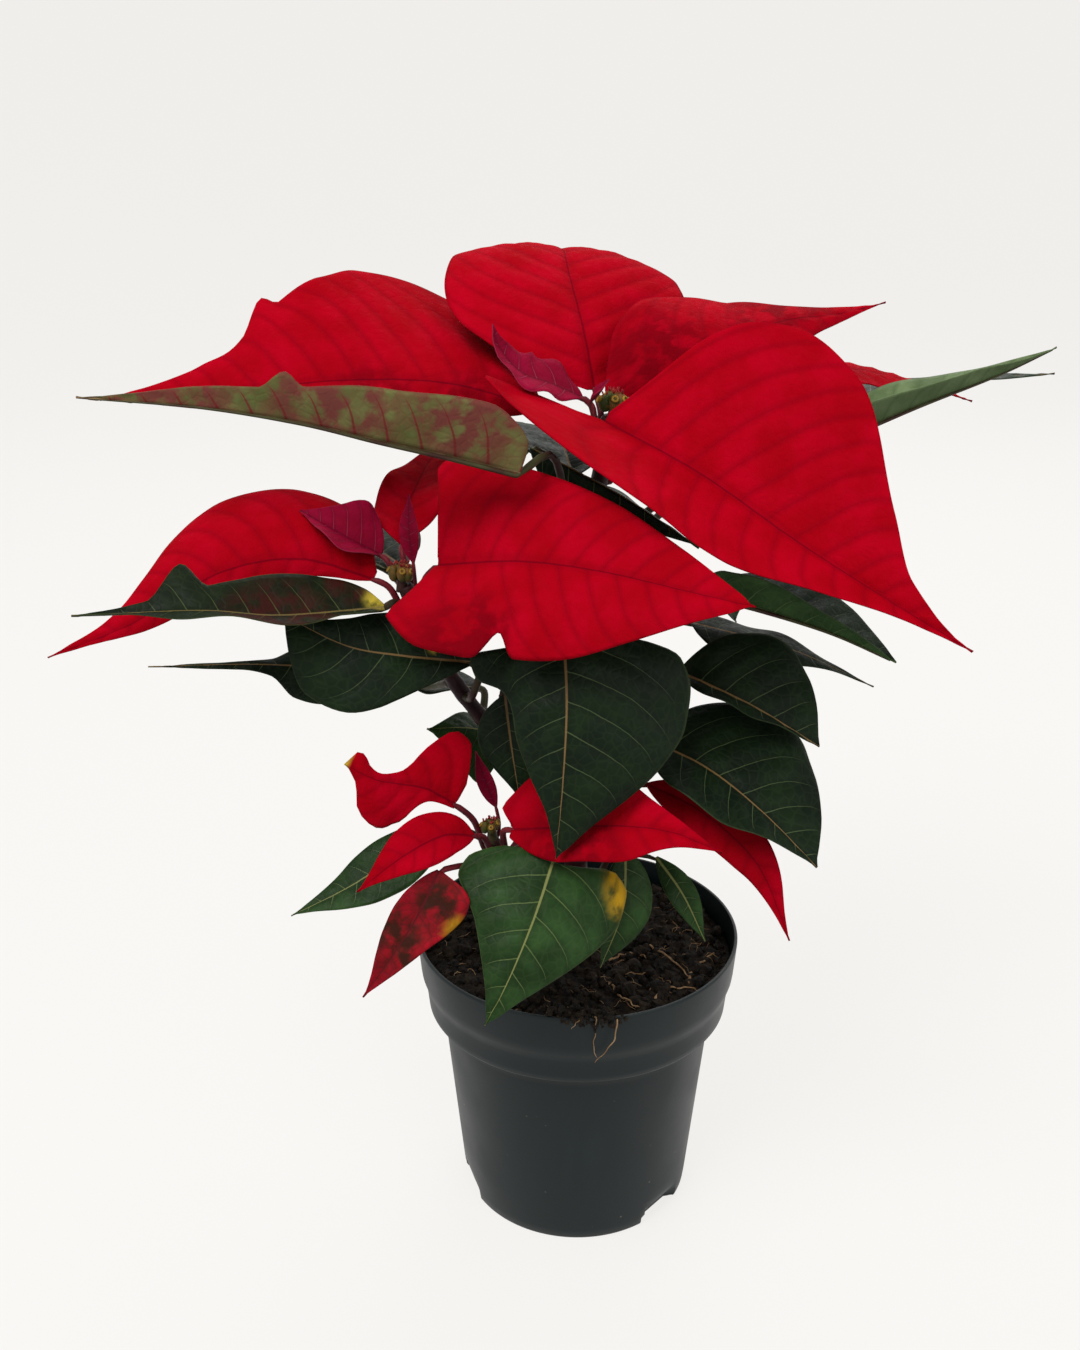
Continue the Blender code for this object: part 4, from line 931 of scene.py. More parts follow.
# %% Outlines of the blades
# Share of the half-width at shares of the length
OUTLINES = {
    "ovate": (
        (0, .06), (.05, .34), (.14, .68), (.27, .94), (.38, 1), (.54, .9), (.7, .6), (.84, .27),
        (.94, .08), (1, 0),
    ),
    "cordate": (
        (0, .1), (.035, .62), (.1, .92), (.22, 1), (.38, .96), (.54, .8), (.7, .55), (.84, .27),
        (.94, .1), (1, 0),
    ),
    "heart": (
        (0, .2), (.03, .72), (.08, .98), (.18, 1), (.34, .88), (.5, .68), (.66, .45), (.82, .21),
        (.94, .08), (1, 0),
    ),
    "square": (
        (0, .1), (.02, .85), (.06, 1), (.14, .98), (.3, .86), (.5, .66), (.7, .43), (.85, .22),
        (.95, .08), (1, 0),
    ),
    "wing": (
        (0, .06), (.05, .32), (.12, .68), (.2, .9), (.3, 1), (.42, .92), (.54, .76), (.7, .41),
        (.82, .14), (1, 0),
    ),
    "lobed": (
        (0, .1), (.035, .62), (.1, .92), (.22, 1), (.4, .88), (.54, .66), (.7, .38), (.82, .17),
        (.92, .06), (1, 0),
    ),
    "fan": (
        (0, .06), (.1, .36), (.2, .64), (.3, .88), (.4, 1), (.52, .97), (.66, .75), (.8, .4),
        (.92, .12), (1, 0),
    ),
    "leaning": (
        (0, .1), (.05, .5), (.14, .86), (.26, 1), (.4, .95), (.52, .76), (.66, .44), (.8, .18),
        (.92, .05), (1, 0),
    ),
    "tapered": (
        (0, .12), (.05, .7), (.12, .96), (.2, 1), (.34, .84), (.48, .62), (.62, .44), (.76, .27),
        (.9, .1), (1, 0),
    ),
    "full": (
        (0, .06), (.05, .32), (.14, .64), (.27, .9), (.4, 1), (.56, .97), (.72, .8), (.86, .46),
        (.95, .16), (1, 0),
    ),
    "blunt": ((0, .1), (.06, .5), (.16, .8), (.3, 1), (.5, 1), (.66, .9), (.8, .7), (.92, .42), (1, 0)),
    "heeled": (
        (0, .2), (.04, 1), (.13, .94), (.2, .68), (.3, .57), (.46, .5), (.62, .35), (.78, .16),
        (.9, .06), (1, 0),
    ),
    "late": (
        (0, .06), (.12, .28), (.28, .55), (.45, .86), (.58, 1), (.72, .93), (.86, .55), (.95, .2),
        (1, 0),
    ),
    "lance": (
        (0, .07), (.07, .34), (.2, .74), (.36, .98), (.46, 1), (.62, .82), (.78, .5), (.9, .2), (1, 0),
    ),
    "whip": ((0, .1), (.08, .6), (.2, 1), (.34, .85), (.45, .32), (.58, .16), (.8, .09), (1, 0)),
    "flag": (
        (0, .3), (.08, .6), (.16, .84), (.24, .88), (.34, .56), (.44, .27), (.56, .14), (.7, .1),
        (.8, .14), (.9, .24), (.97, .2), (1, 0),
    ),
    "flap": ((0, .1), (.2, .2), (.36, .45), (.5, .85), (.62, 1), (.74, .75), (.84, .25), (.92, .1), (1, 0)),
}
print("outlines:", len(OUTLINES))

# %% Stem, branches and flower heads
# The main stem and its branches: points, first radius and last radius
STEM = {
    "trunk": (((2, 4, 74), (1, 3, 110), (-2, 1, 150)), 5.2, 4.0),
    "top_branch": (((-2, 1, 140), (-3, 6, 190), (2, 6, 250), (9, 3, 301)), 3.6, 2.5),
    "left_branch": (((-1, 2, 146), (-20, -3, 176), (-43, -14, 213), (-58, -20, 249)), 3.2, 2.2),
    "low_branch": (((1, 2, 118), (-12, -18, 134), (-24, -33, 150), (-29, -39, 166)), 2.8, 2.0),
}

# Flower heads: centre, radius of the cluster, number of cups
HEADS = {
    "flower_head_top": ((10, 4, 306), 6.0, 7),
    "flower_head_left": ((-59, -20, 254), 5.0, 6),
    "flower_head_low": ((-29, -39, 171), 4.2, 5),
}
print("branches:", len(STEM) - 1, "flower heads:", len(HEADS))

# %% [markdown]
# ## Table of the blades
#
# Each blade says where it grows, which points its stalk passes, and its rib from base to tip.
# For its left and its right half, seen from above towards the tip, it says the width and the
# angle above level, at the base and from the middle on where there are two. Some halves also
# curl on towards the margin, reach back past the base as a lobe, or have a tooth. The wave is
# its height and how often it comes. A blade that doesn't lie level says which way it faces.

# %% Blades of the top head
LEAVES = {
    "bract_front_right": dict(
        kind="bract", outline=("wing", "lobed"), on=("top_branch", 0.90), stalk=((8, -4, 296),),
        rib=((7, -6, 301), (37, -24, 288), (66, -47, 272), (93, -69, 259), (111, -84, 251)),
        width=(55, 34), rise=((66, 66), (6, -14)), curl=(-3, 0), back=(0, 54), wave=(1.2, 2.5),
    ),
    "bract_top_middle": dict(
        kind="bract", outline=("ovate", "fan"), on=("top_branch", 0.955), stalk=((6, 8, 301),),
        rib=((4, 13, 308), (0, 24, 326), (-5, 42, 342), (-8, 62, 350), (-12, 96, 343)),
        width=(45, 43), rise=(14, 2), curl=(-14, -14), wave=(1.5, 2.5),
    ),
    "bract_back_right": dict(
        kind="bract", outline=("leaning", "leaning"), on=("top_branch", 0.93), stalk=((16, 8, 299),),
        rib=((21, 10, 304), (40, 20, 318), (66, 32, 328), (88, 41, 330), (106, 50, 333)),
        width=(30, 20), rise=((84, 22), -36), curl=(-10, -6), wave=(0.8, 2.5), back=(16, 0),
    ),
    "bract_left": dict(
        kind="bract", outline=("ovate", "leaning"), on=("top_branch", 0.94), stalk=((-4, 1, 299),),
        rib=((-14, 0, 304), (-44, 0, 312), (-78, -8, 314), (-118, -16, 311), (-152, -22, 310)),
        width=(15, 52), rise=((-60, -34), (18, 56)), curl=(-14, -10), wave=(1.0, 3),
        teeth=((1, .625, 7, .045), (1, .7, -3, .08)),
    ),
    "bract_far_right": dict(
        kind="bract", outline="ovate", on=("top_branch", 0.86), stalk=((26, 18, 292),),
        rib=((44, 34, 302), (86, 56, 309), (119, 71, 303), (149, 83, 293)),
        width=(24, 16), rise=(10, -10), curl=(-10, -10), wave=(1.2, 2),
    ),
    "young_bract_top": dict(
        kind="young_bract", outline="ovate", on=("top_branch", 0.985), stalk=((3, 3, 304),),
        rib=((0, 3, 307), (-10, 0, 312), (-20, -2, 316), (-27, -2, 324), (-29, -1, 331)),
        width=(9, 10), rise=(-20, 40), wave=(1.0, 3.5),
    ),
    "tiny_leaf_top": dict(
        kind="young_bract", outline="lance", on=("top_branch", 0.975), stalk=((3, -2, 303),),
        rib=((2, -3, 307), (5, -3, 310), (8, -2, 314)),
        width=(3.2, 3.2), rise=(25, 25), wave=(0, 2),
    ),
    "leaf_upper_left": dict(
        kind="leaf_underside", outline="tapered", on=("top_branch", 0.70),
        stalk=((-4, -12, 268), (-9, -24, 293)),
        rib=(
            (-19, -38, 291), (-41, -41, 297), (-61, -44, 302), (-84, -47, 308), (-113, -50, 313),
            (-148, -53, 316),
        ),
        width=(19, 10), rise=(72, (10, -15)), curl=(10, 0), back=(5, 0), wave=(1.0, 3),
        teeth=((0, .56, 5, .05),),
    ),
    "leaf_upper_right": dict(
        kind="leaf_underside", outline="ovate", on=("top_branch", 0.72), stalk=((28, 12, 270),),
        rib=((54, 16, 278), (84, 24, 288), (116, 32, 300), (146, 44, 309), (169, 55, 317)),
        width=(15, 10), rise=(24, 60), wave=(1, 2.5),
    ),
    "leaf_far_right": dict(
        kind="leaf", outline="ovate", on=("top_branch", 0.66), stalk=((30, 32, 262),),
        rib=((58, 62, 276), (100, 92, 289), (146, 110, 296), (191, 120, 298)),
        width=(20, 20), rise=(8, 8), curl=(-6, -6), wave=(1, 2.5),
    ),
    "leaf_under_bract": dict(
        kind="leaf", outline="ovate", on=("top_branch", 0.82), stalk=((-7, -1, 285),),
        rib=((-17, -8, 293), (-2, -11, 286), (16, -16, 277), (38, -24, 264)),
        width=(12, 12), rise=(-20, -80), wave=(1, 2.5),
    ),
}
print("blades so far:", len(LEAVES))

# %% Blades of the left head and branch
LEAVES |= {
    "bract_front_middle": dict(
        kind="bract", outline=("square", "cordate"), on=("left_branch", 0.92),
        stalk=((-51, -26, 252),),
        rib=((-46, -30, 259), (-19, -42, 264), (6, -52, 264), (32, -62, 261), (51, -70, 259)),
        width=(35, 35), rise=((66, 54), (-14, -34)), curl=(-4, -20), back=(8, 20), wave=(0.6, 2.5),
        teeth=((1, .28, -9, .07),),
    ),
    "bract_lower_left": dict(
        kind="bract", outline=("ovate", "leaning"), on=("left_branch", 0.93), stalk=((-63, -20, 248),),
        rib=((-68, -20, 251), (-92, -21, 258), (-118, -24, 254), (-146, -32, 239), (-173, -38, 229)),
        width=(7, 30), rise=(-50, 57), curl=(-20, -20), wave=(0.8, 2.5),
    ),
    "young_bract_left": dict(
        kind="young_bract", outline="ovate", on=("left_branch", 0.97), stalk=((-63, -17, 255),),
        rib=((-66, -15, 258), (-78, -14, 264), (-93, -11, 272)),
        width=(10, 14), rise=(0, 50), wave=(0.8, 2),
    ),
    "bract_left_back": dict(
        kind="bract", outline="ovate", on=("left_branch", 0.95), stalk=((-59, -13, 256),),
        rib=((-60, -9, 260), (-60, 2, 268), (-56, 18, 277), (-52, 42, 284)),
        width=(12, 15), rise=(6, 14), wave=(1.2, 2.5),
    ),
    "bractlet_left": dict(
        kind="young_bract", outline="lance", on=("left_branch", 0.985), stalk=((-54, -26, 255),),
        rib=((-54, -28, 259), (-55, -28, 269), (-55, -26, 281)),
        width=(3.2, 3.2), rise=(10, 10), wave=(0.3, 2), face=(0, -1, 0),
    ),
    "leaf_left_inner": dict(
        kind="leaf", outline="ovate", on=("left_branch", 0.86), stalk=((-60, -8, 244),),
        rib=((-66, -4, 250), (-82, 2, 254), (-102, 8, 253)),
        width=(6, 12), rise=(10, 10), wave=(0.8, 2),
    ),
    "leaf_left_dark": dict(
        kind="leaf", outline=("ovate", "leaning"), on=("left_branch", 0.84), stalk=((-60, -22, 243),),
        rib=((-63, -34, 246), (-94, -46, 247), (-117, -54, 251), (-155, -60, 251)),
        width=(9, 15), rise=(0, 40), wave=(0.8, 2.5), teeth=((1, .67, 11, .1),),
    ),
    "leaf_left_hanging": dict(
        kind="leaf", outline=("late", "ovate"), on=("left_branch", 0.62),
        stalk=((-36, -25, 212), (-33, -28, 222)),
        rib=((-36, -30, 226), (-59, -35, 230), (-76, -37, 234), (-96, -34, 243)),
        width=(21, 14), rise=(4, 6), curl=(-10, -10), wave=(0.8, 2.5), face=(0, -1, .6),
    ),
    "leaf_left_back": dict(
        kind="leaf", outline="whip", on=("left_branch", 0.66), stalk=((-56, 4, 204),),
        rib=((-76, 12, 207), (-100, 10, 209), (-120, 6, 211), (-153, 0, 212)),
        width=(14, 10), rise=(-50, 20), wave=(0.4, 2.5),
    ),
}
print("blades so far:", len(LEAVES))

# %% Green leaves of the middle
LEAVES |= {
    "leaf_front_hanging": dict(
        kind="leaf", outline=("cordate", "heeled"), on=("top_branch", 0.40),
        stalk=((-4, -14, 226), (-5, -38, 246)),
        rib=((-5, -48, 240), (-4, -58, 222), (-5, -64, 198), (-7, -66, 173)),
        width=(41, 32), rise=(-8, -8), curl=(-8, -8), back=(4, 2), wave=(1.0, 2.5), face=(0, -1, 0.2),
    ),
    "leaf_right_upper": dict(
        kind="leaf_underside", outline=("full", "tapered"), on=("top_branch", 0.62),
        stalk=((14, -10, 252), (28, -30, 255)),
        rib=((38, -37, 253), (56, -43, 250), (78, -48, 244), (98, -50, 235)),
        width=(20, 14), rise=(20, 60), wave=(0.6, 2.5),
    ),
    "leaf_right_slim": dict(
        kind="leaf", outline="leaning", on=("top_branch", 0.50), stalk=((16, 6, 228),),
        rib=((38, -1, 231), (72, -5, 223), (101, -9, 211)),
        width=(12, 11), rise=(0, -20), wave=(0.8, 2.5),
    ),
    "leaf_right_middle": dict(
        kind="leaf", outline=("full", "ovate"), on=("top_branch", 0.42), stalk=((16, -10, 214),),
        rib=((33, -18, 219), (43, -25, 217), (59, -31, 211), (79, -36, 200)),
        width=(24, 5), rise=(52, -20), wave=(0.8, 2.5),
    ),
    "leaf_right_lower": dict(
        kind="leaf", outline=("full", "ovate"), on=("top_branch", 0.27), stalk=((12, -12, 190),),
        rib=((22, -26, 198), (42, -36, 192), (60, -46, 181), (78, -54, 165)),
        width=(30, 16), rise=(38, -16), curl=(-6, 0), wave=(1, 2.5),
    ),
    "leaf_inner_hanging": dict(
        kind="leaf", outline="ovate", on=("left_branch", 0.45),
        stalk=((-26, -18, 200), (-26, -23, 212)),
        rib=((-25, -26, 213), (-23, -29, 197), (-20, -32, 177)),
        width=(12, 11), rise=(-4, -4), wave=(0.8, 2), face=(0, -1, 0.2),
    ),
    "leaf_inner_left": dict(
        kind="leaf", outline="ovate", on=("left_branch", 0.52), stalk=((-34, 2, 203),),
        rib=((-38, 6, 203), (-52, 14, 202), (-68, 22, 197)),
        width=(11, 11), rise=(0, 0), wave=(0.8, 2),
    ),
    "leaf_inner_folded": dict(
        kind="leaf_underside", outline="ovate", on=("left_branch", 0.26), stalk=((-22, 8, 176),),
        rib=((-27, 8, 184), (-40, 2, 189), (-54, -4, 191)),
        width=(20, 10), rise=(-50, 10), wave=(0.6, 2),
    ),
}
print("blades so far:", len(LEAVES))

# %% Blades of the low head and branch
LEAVES |= {
    "curled_bract_low": dict(
        kind="bract", outline=("flap", "flag"), on=("low_branch", 0.93), stalk=((-35, -40, 173),),
        rib=((-41, -42, 180), (-50, -45, 187), (-58, -48, 190), (-66, -51, 193), (-75, -53, 199)),
        width=(16, 25), rise=((-20, -70), (80, 60)), curl=(-10, 0), wave=(0.5, 2),
    ),
    "bractlet_low": dict(
        kind="young_bract", outline="lance", on=("low_branch", 0.97), stalk=((-27, -33, 169),),
        rib=((-28, -32, 174), (-32, -30, 184), (-35, -28, 193)),
        width=(3.0, 3.0), rise=(10, 10), wave=(0.3, 2), face=(0, -1, 0),
    ),
    "bract_low_left": dict(
        kind="bract", outline="ovate", on=("low_branch", 0.90), stalk=((-31, -45, 169),),
        rib=((-34, -49, 172), (-44, -55, 175), (-57, -61, 170), (-71, -66, 160)),
        width=(8, 9), rise=(4, 4), wave=(0.8, 2), face=(0, -1, .8),
    ),
    "bract_low_right": dict(
        kind="bract", outline=("leaning", "ovate"), on=("low_branch", 0.95), stalk=((-25, -44, 171),),
        rib=((-22, -48, 174), (-6, -54, 178), (13, -58, 181), (30, -60, 180), (46, -62, 174)),
        width=(21, 13), rise=(54, -30), curl=(0, -10), back=(8, 3), wave=(0.8, 2.5),
    ),
    "bract_low_far_right": dict(
        kind="bract", outline="ovate", on=("low_branch", 0.86), stalk=((-14, -30, 169), (6, -24, 177)),
        rib=((23, -26, 181), (42, -36, 175), (60, -44, 160), (71, -52, 136)),
        width=(9, 8), rise=(10, -10), wave=(0.6, 2), face=(-.3, -.6, .8),
    ),
    "leaf_low_front": dict(
        kind="leaf", outline=("heart", "tapered"), on=("low_branch", 0.84), stalk=((-20, -50, 168),),
        rib=((-8, -58, 168), (-14, -72, 154), (-22, -82, 137), (-29, -86, 124)),
        width=(28, 29), rise=(-4, -4), curl=(-10, -10), back=(9, 4), wave=(0.6, 2.5), face=(0, -1, .3),
    ),
    "leaf_low_right": dict(
        kind="leaf", outline="lance", on=("trunk", 0.62), stalk=((12, -24, 154),),
        rib=((16, -44, 166), (15, -54, 148), (8, -58, 128)),
        width=(10, 8), rise=(0, 0), wave=(0.4, 2), face=(.3, -1, .2),
    ),
    "leaf_low_small": dict(
        kind="leaf", outline="lance", on=("trunk", 0.55), stalk=((16, -16, 146),),
        rib=((27, -30, 155), (36, -38, 145), (44, -42, 129)),
        width=(5, 5), rise=(4, 4), wave=(0.4, 2), face=(0, -1, .4),
    ),
    "leaf_low_left": dict(
        kind="leaf", outline="ovate", on=("low_branch", 0.45), stalk=((-30, -14, 150),),
        rib=((-46, -16, 160), (-62, -24, 152), (-80, -31, 142), (-100, -36, 133)),
        width=(12, 9), rise=(0, 0), wave=(1, 2), face=(0, -.6, .8),
    ),
    "mottled_bract_low": dict(
        kind="mottled_bract", outline=("tapered", "ovate"), on=("low_branch", 0.80),
        stalk=((-36, -51, 162),),
        rib=((-45, -60, 165), (-51, -69, 154), (-59, -77, 143), (-68, -82, 131)),
        width=(14, 8), rise=(4, 4), wave=(0.8, 2.5), face=(0, -.8, .5),
    ),
}
print("blades so far:", len(LEAVES))

# %% Leaves at the back
LEAVES |= {
    "leaf_back_high": dict(
        kind="leaf", outline="ovate", on=("top_branch", 0.60), stalk=((0, 24, 262),),
        rib=((-3, 40, 272), (-10, 70, 282), (-20, 104, 276), (-26, 134, 258)),
        width=(24, 24), rise=(14, 14), curl=(-6, -6), wave=(1.6, 2.5),
    ),
    "leaf_back_left": dict(
        kind="leaf", outline="ovate", on=("left_branch", 0.76), stalk=((-58, 6, 236),),
        rib=((-64, 20, 244), (-82, 44, 246), (-100, 68, 236), (-112, 86, 222)),
        width=(22, 22), rise=(14, 14), curl=(-6, -6), wave=(1.6, 2.5),
    ),
    "leaf_back_right": dict(
        kind="leaf", outline="ovate", on=("top_branch", 0.34), stalk=((12, 22, 212),),
        rib=((20, 36, 222), (38, 62, 224), (56, 86, 212), (66, 104, 196)),
        width=(22, 22), rise=(12, 12), curl=(-6, -6), wave=(1.6, 2.5),
    ),
    "leaf_back_low": dict(
        kind="leaf", outline="ovate", on=("trunk", 0.84), stalk=((-8, 24, 152),),
        rib=((-14, 38, 162), (-24, 60, 164), (-34, 84, 152), (-40, 100, 136)),
        width=(19, 19), rise=(10, 10), curl=(-6, -6), wave=(1.6, 2.5),
    ),
}
print("blades:", len(LEAVES))

# %% [markdown]
# ## What sets single blades apart
#
# No two blades of a real plant have the same colour. Most wear the finish of their kind, and a
# few are given another one here. Others are yellowed or flushed in places, as in the photograph,
# and some bracts are darkened with painted shade where they lie in the shadow of others.

# %% Other finishes and marks
# Blades that wear another finish than their kind's
OTHER_FINISH = {
    "leaf_left_dark": "dark_leaf", "leaf_upper_left": "blushed_leaf", "leaf_upper_right": "pale_leaf",
}
for name in ("leaf_low_front", "leaf_low_right", "leaf_low_small", "leaf_low_left",
             "leaf_inner_folded", "leaf_left_inner"):
    OTHER_FINISH[name] = "fresh_leaf"

# Yellowed places, and flushed places that on the red bracts are painted shade: what, how far
# along, how far out to the right, and radius
MARKS = {
    "leaf_low_front": (("yellow", 0.04, -1.1, 7), ("yellow", 0.1, -0.95, 6)),
    "leaf_left_hanging": (("yellow", 0.2, 0.3, 2.2),),
    "leaf_left_dark": (("yellow", 0.02, 0.9, 6), ("blush", 0.1, 1.0, 12), ("blush", 0.35, -0.6, 25)),
    "mottled_bract_low": (
        ("blush", 0.2, -0.3, 12), ("blush", 0.5, 0.5, 12), ("blush", 0.6, -0.4, 12),
        ("yellow", 0.3, -1.0, 5),
    ),
    "leaf_upper_left": (("blush", 0.15, -0.8, 26), ("blush", 0.45, -0.8, 30), ("blush", 0.8, -0.5, 30)),
    "curled_bract_low": (("yellow", 1.0, 0.0, 1),),
    # The flush marks on these four bracts are painted shade where a half lies in the shadow of others
    "bract_left": (("blush", 0.15, -0.7, 22), ("blush", 0.4, -0.7, 22)),
    "bract_back_right": (("blush", 0.1, 0.0, 40), ("blush", 0.6, 0.0, 30)),
    "bract_front_middle": (("blush", 0.2, 0.8, 20),),
    "bract_low_right": (("blush", 0.3, 0.6, 24),),
}
print("blades with a finish of their own:", len(OTHER_FINISH), "with marks:", len(MARKS))

# %% [markdown]
# ## Veined blades
#
# Each blade is a flat grid whose vertices are moved by a formula: the rows lie along the rib,
# and the columns run out from it to the left and the right margin. A real blade isn't smooth.
# It is pulled in along every side vein and puffed up between them, so the formula adds that
# quilting, a groove over the midrib, and a slow ripple towards the margin. Solidify then gives
# it the thickness of a leaf, with a material of its own for the underside. The stalk runs on
# under the blade as its midrib.

# %% The blade's surface
# Thickness of the blade, depth of the groove over the midrib and its width, in millimetres
THICKNESS, RIB_GROOVE, GROOVE_WIDTH = 0.36, 0.35, 1.3
# Height of the slow ripple at the margin, and the space from one ripple to the next
RIPPLE_HEIGHT, RIPPLE_SPACE = 0.9, 16
# Share of the length over which a lobe reaches back, and the least half-width
LOBE_REACH, LEAST_HALF = 0.25, 0.12
# How high each kind of blade is puffed up between its side veins, in millimetres
QUILT = {"leaf": 0.8, "leaf_underside": 1.2, "bract": 0.8, "young_bract": 0.7, "mottled_bract": 0.8}


def blade_half(leaf, side, shares, rib, along, up, columns):
    """One half of the blade as rows of places, with the half-width of each row."""
    left = np.cross(up, along)
    sign = 1 if side == 0 else -1
    out = np.linspace(0, 1, columns + 1)
    shape = leaf["outline"] if isinstance(leaf["outline"], str) else leaf["outline"][side]
    outline = eased(OUTLINES[shape], shares)
    half = np.maximum(outline * leaf["width"][side], LEAST_HALF)
    for at_side, place, height, reach in leaf.get("teeth", ()):
        if at_side == side:
            tent = np.clip(1 - np.abs(shares - place) / reach, 0, 1)
            half = half + height * tent * tent * (3 - 2 * tent)
    rise = np.interp(shares, (0, 0.5), np.broadcast_to(leaf["rise"][side], 2))
    curl = leaf.get("curl", (0, 0))[side]
    rows = [rib]
    for k in range(1, columns + 1):
        angle = np.radians(rise + curl * (out[k] + out[k - 1]))[:, None]
        step = (half * (out[k] - out[k - 1]))[:, None]
        rows.append(rows[-1] + step * (np.cos(angle) * sign * left + np.sin(angle) * up))
    rows = np.stack(rows, axis=1)
    height, count = leaf["wave"]
    wave = height * np.sin(2 * np.pi * (count * shares + 0.35 * side)) * outline
    rows += (wave[:, None] * out**2)[..., None] * up[:, None]
    sweep = leaf.get("back", (0, 0))[side] * np.clip(1 - shares / LOBE_REACH, 0, 1) ** 2
    sweep = sweep * np.clip(shares / 0.03, 0, 1)
    rows -= (sweep[:, None] * out**1.5)[..., None] * along[:, None]
    return rows, half


def quilted(places, number, out, across, depth, seed):
    """The surface with its relief: puffed between side veins, grooved at the rib, rippled."""
    normal = np.cross(np.gradient(places, axis=1), np.gradient(places, axis=0))
    normal = normal / np.maximum(np.linalg.norm(normal, axis=-1, keepdims=True), 1e-9)
    gap = 2 * np.abs((number + 0.5) % 1 - 0.5)
    swell = depth * (gap**0.8 - 0.5) * np.sin(np.pi * np.clip(out, 0, 1) ** 0.8)
    groove = -RIB_GROOVE * np.exp(-((across / GROOVE_WIDTH) ** 2))
    ripple = np.zeros_like(out)
    for index in np.ndindex(out.shape):
        spot = Vector(places[index]) / RIPPLE_SPACE + Vector((seed, 0, 0))
        ripple[index] = RIPPLE_HEIGHT * noise.noise(spot) * out[index] ** 2
    return places + (swell + groove + ripple)[..., None] * normal


print("blade thickness, mm:", THICKNESS, "quilting of a leaf, mm:", QUILT["leaf"])

# %% [markdown]
# ## Marks, maps and stalks
#
# A yellowed place is stored in the mesh as a number at each vertex, and the shader reads it.
# That places it on the leaf in millimetres, which a pattern in the shader could not do. The
# maps are stored at the corners of the faces, because the two halves of a blade count their
# veins apart and meet at the midrib. A stalk starts a little inside the branch's skin, so that
# it looks grown on, and swells there.

# %% Marks, maps and stalks
STALK_RADIUS, BRACT_STALK_RADIUS = 1.25, 1.05
# How far a stalk starts inside the branch's skin, and how far it runs straight out of it
STALK_ROOT, STALK_START = 0.8, 2.8


def mark_values(leaf_name, kind, run, across, half_widths, length):
    """How strongly each point has a mark of that kind, from 0 to 1: yellowed, flushed, and on the red
    bracts painted shade.
    """
    total = np.zeros_like(run)
    for what, along, out, radius in MARKS.get(leaf_name, ()):
        if what == kind:
            row = int(np.argmin(abs(run[:, 0] - along * length)))
            width = half_widths[0 if out < 0 else 1][row]
            distance = np.hypot(run - along * length, across - out * width)
            total = np.maximum(total, 1 - smooth_step(distance, radius * 0.35, radius))
    return total


def set_corner_map(mesh, name, values):
    """A map with two values at each corner of each face."""
    layer = mesh.uv_layers.get(name) or mesh.uv_layers.new(name=name)
    layer.data.foreach_set("uv", values.astype(np.float32).ravel())


def stalk_centres(leaf):
    """The way from inside the branch to the blade's base, and the stalk's radius."""
    branch, place = leaf["on"]
    points, first_radius, last_radius = STEM[branch]
    centre, axis = route(points, [place])
    away = np.array(leaf["stalk"][0], float) - centre[0]
    away = unit(away - (away @ axis[0]) * axis[0])
    radius = first_radius + (last_radius - first_radius) * place
    start = centre[0] + away * (radius - STALK_ROOT)
    passed = [start, start + away * STALK_START, *leaf["stalk"], leaf["rib"][0]]
    way, _ = route(passed, np.linspace(0, 1, 15))
    thick = BRACT_STALK_RADIUS if "bract" in leaf["kind"] else STALK_RADIUS
    return way, min(thick, 0.05 * sum(leaf["width"]) + 0.3)


_, thick = stalk_centres(LEAVES["leaf_front_hanging"])
print("a leaf's stalk is this thick, mm:", 2 * thick)

# %% [markdown]
# ## One whole blade
#
# The rows of the grid are closer together at the base, where the outline turns fastest. Large
# blades get more rows and columns than small ones, so that all faces are about as large as the
# quilting needs. The midrib is the stalk's own tube. It runs on under the groove, midway between
# the two halves, and thins towards the tip.

# %% One blade with its maps, its thickness and its stalk
# Millimetres for each row and each column of the grid, and from one side vein to the next
ROW_STEP, COLUMN_STEP, VEIN_STEP = 1.5, 1.7, 9.5
# The thinnest midrib
TIP_RIB = 0.16


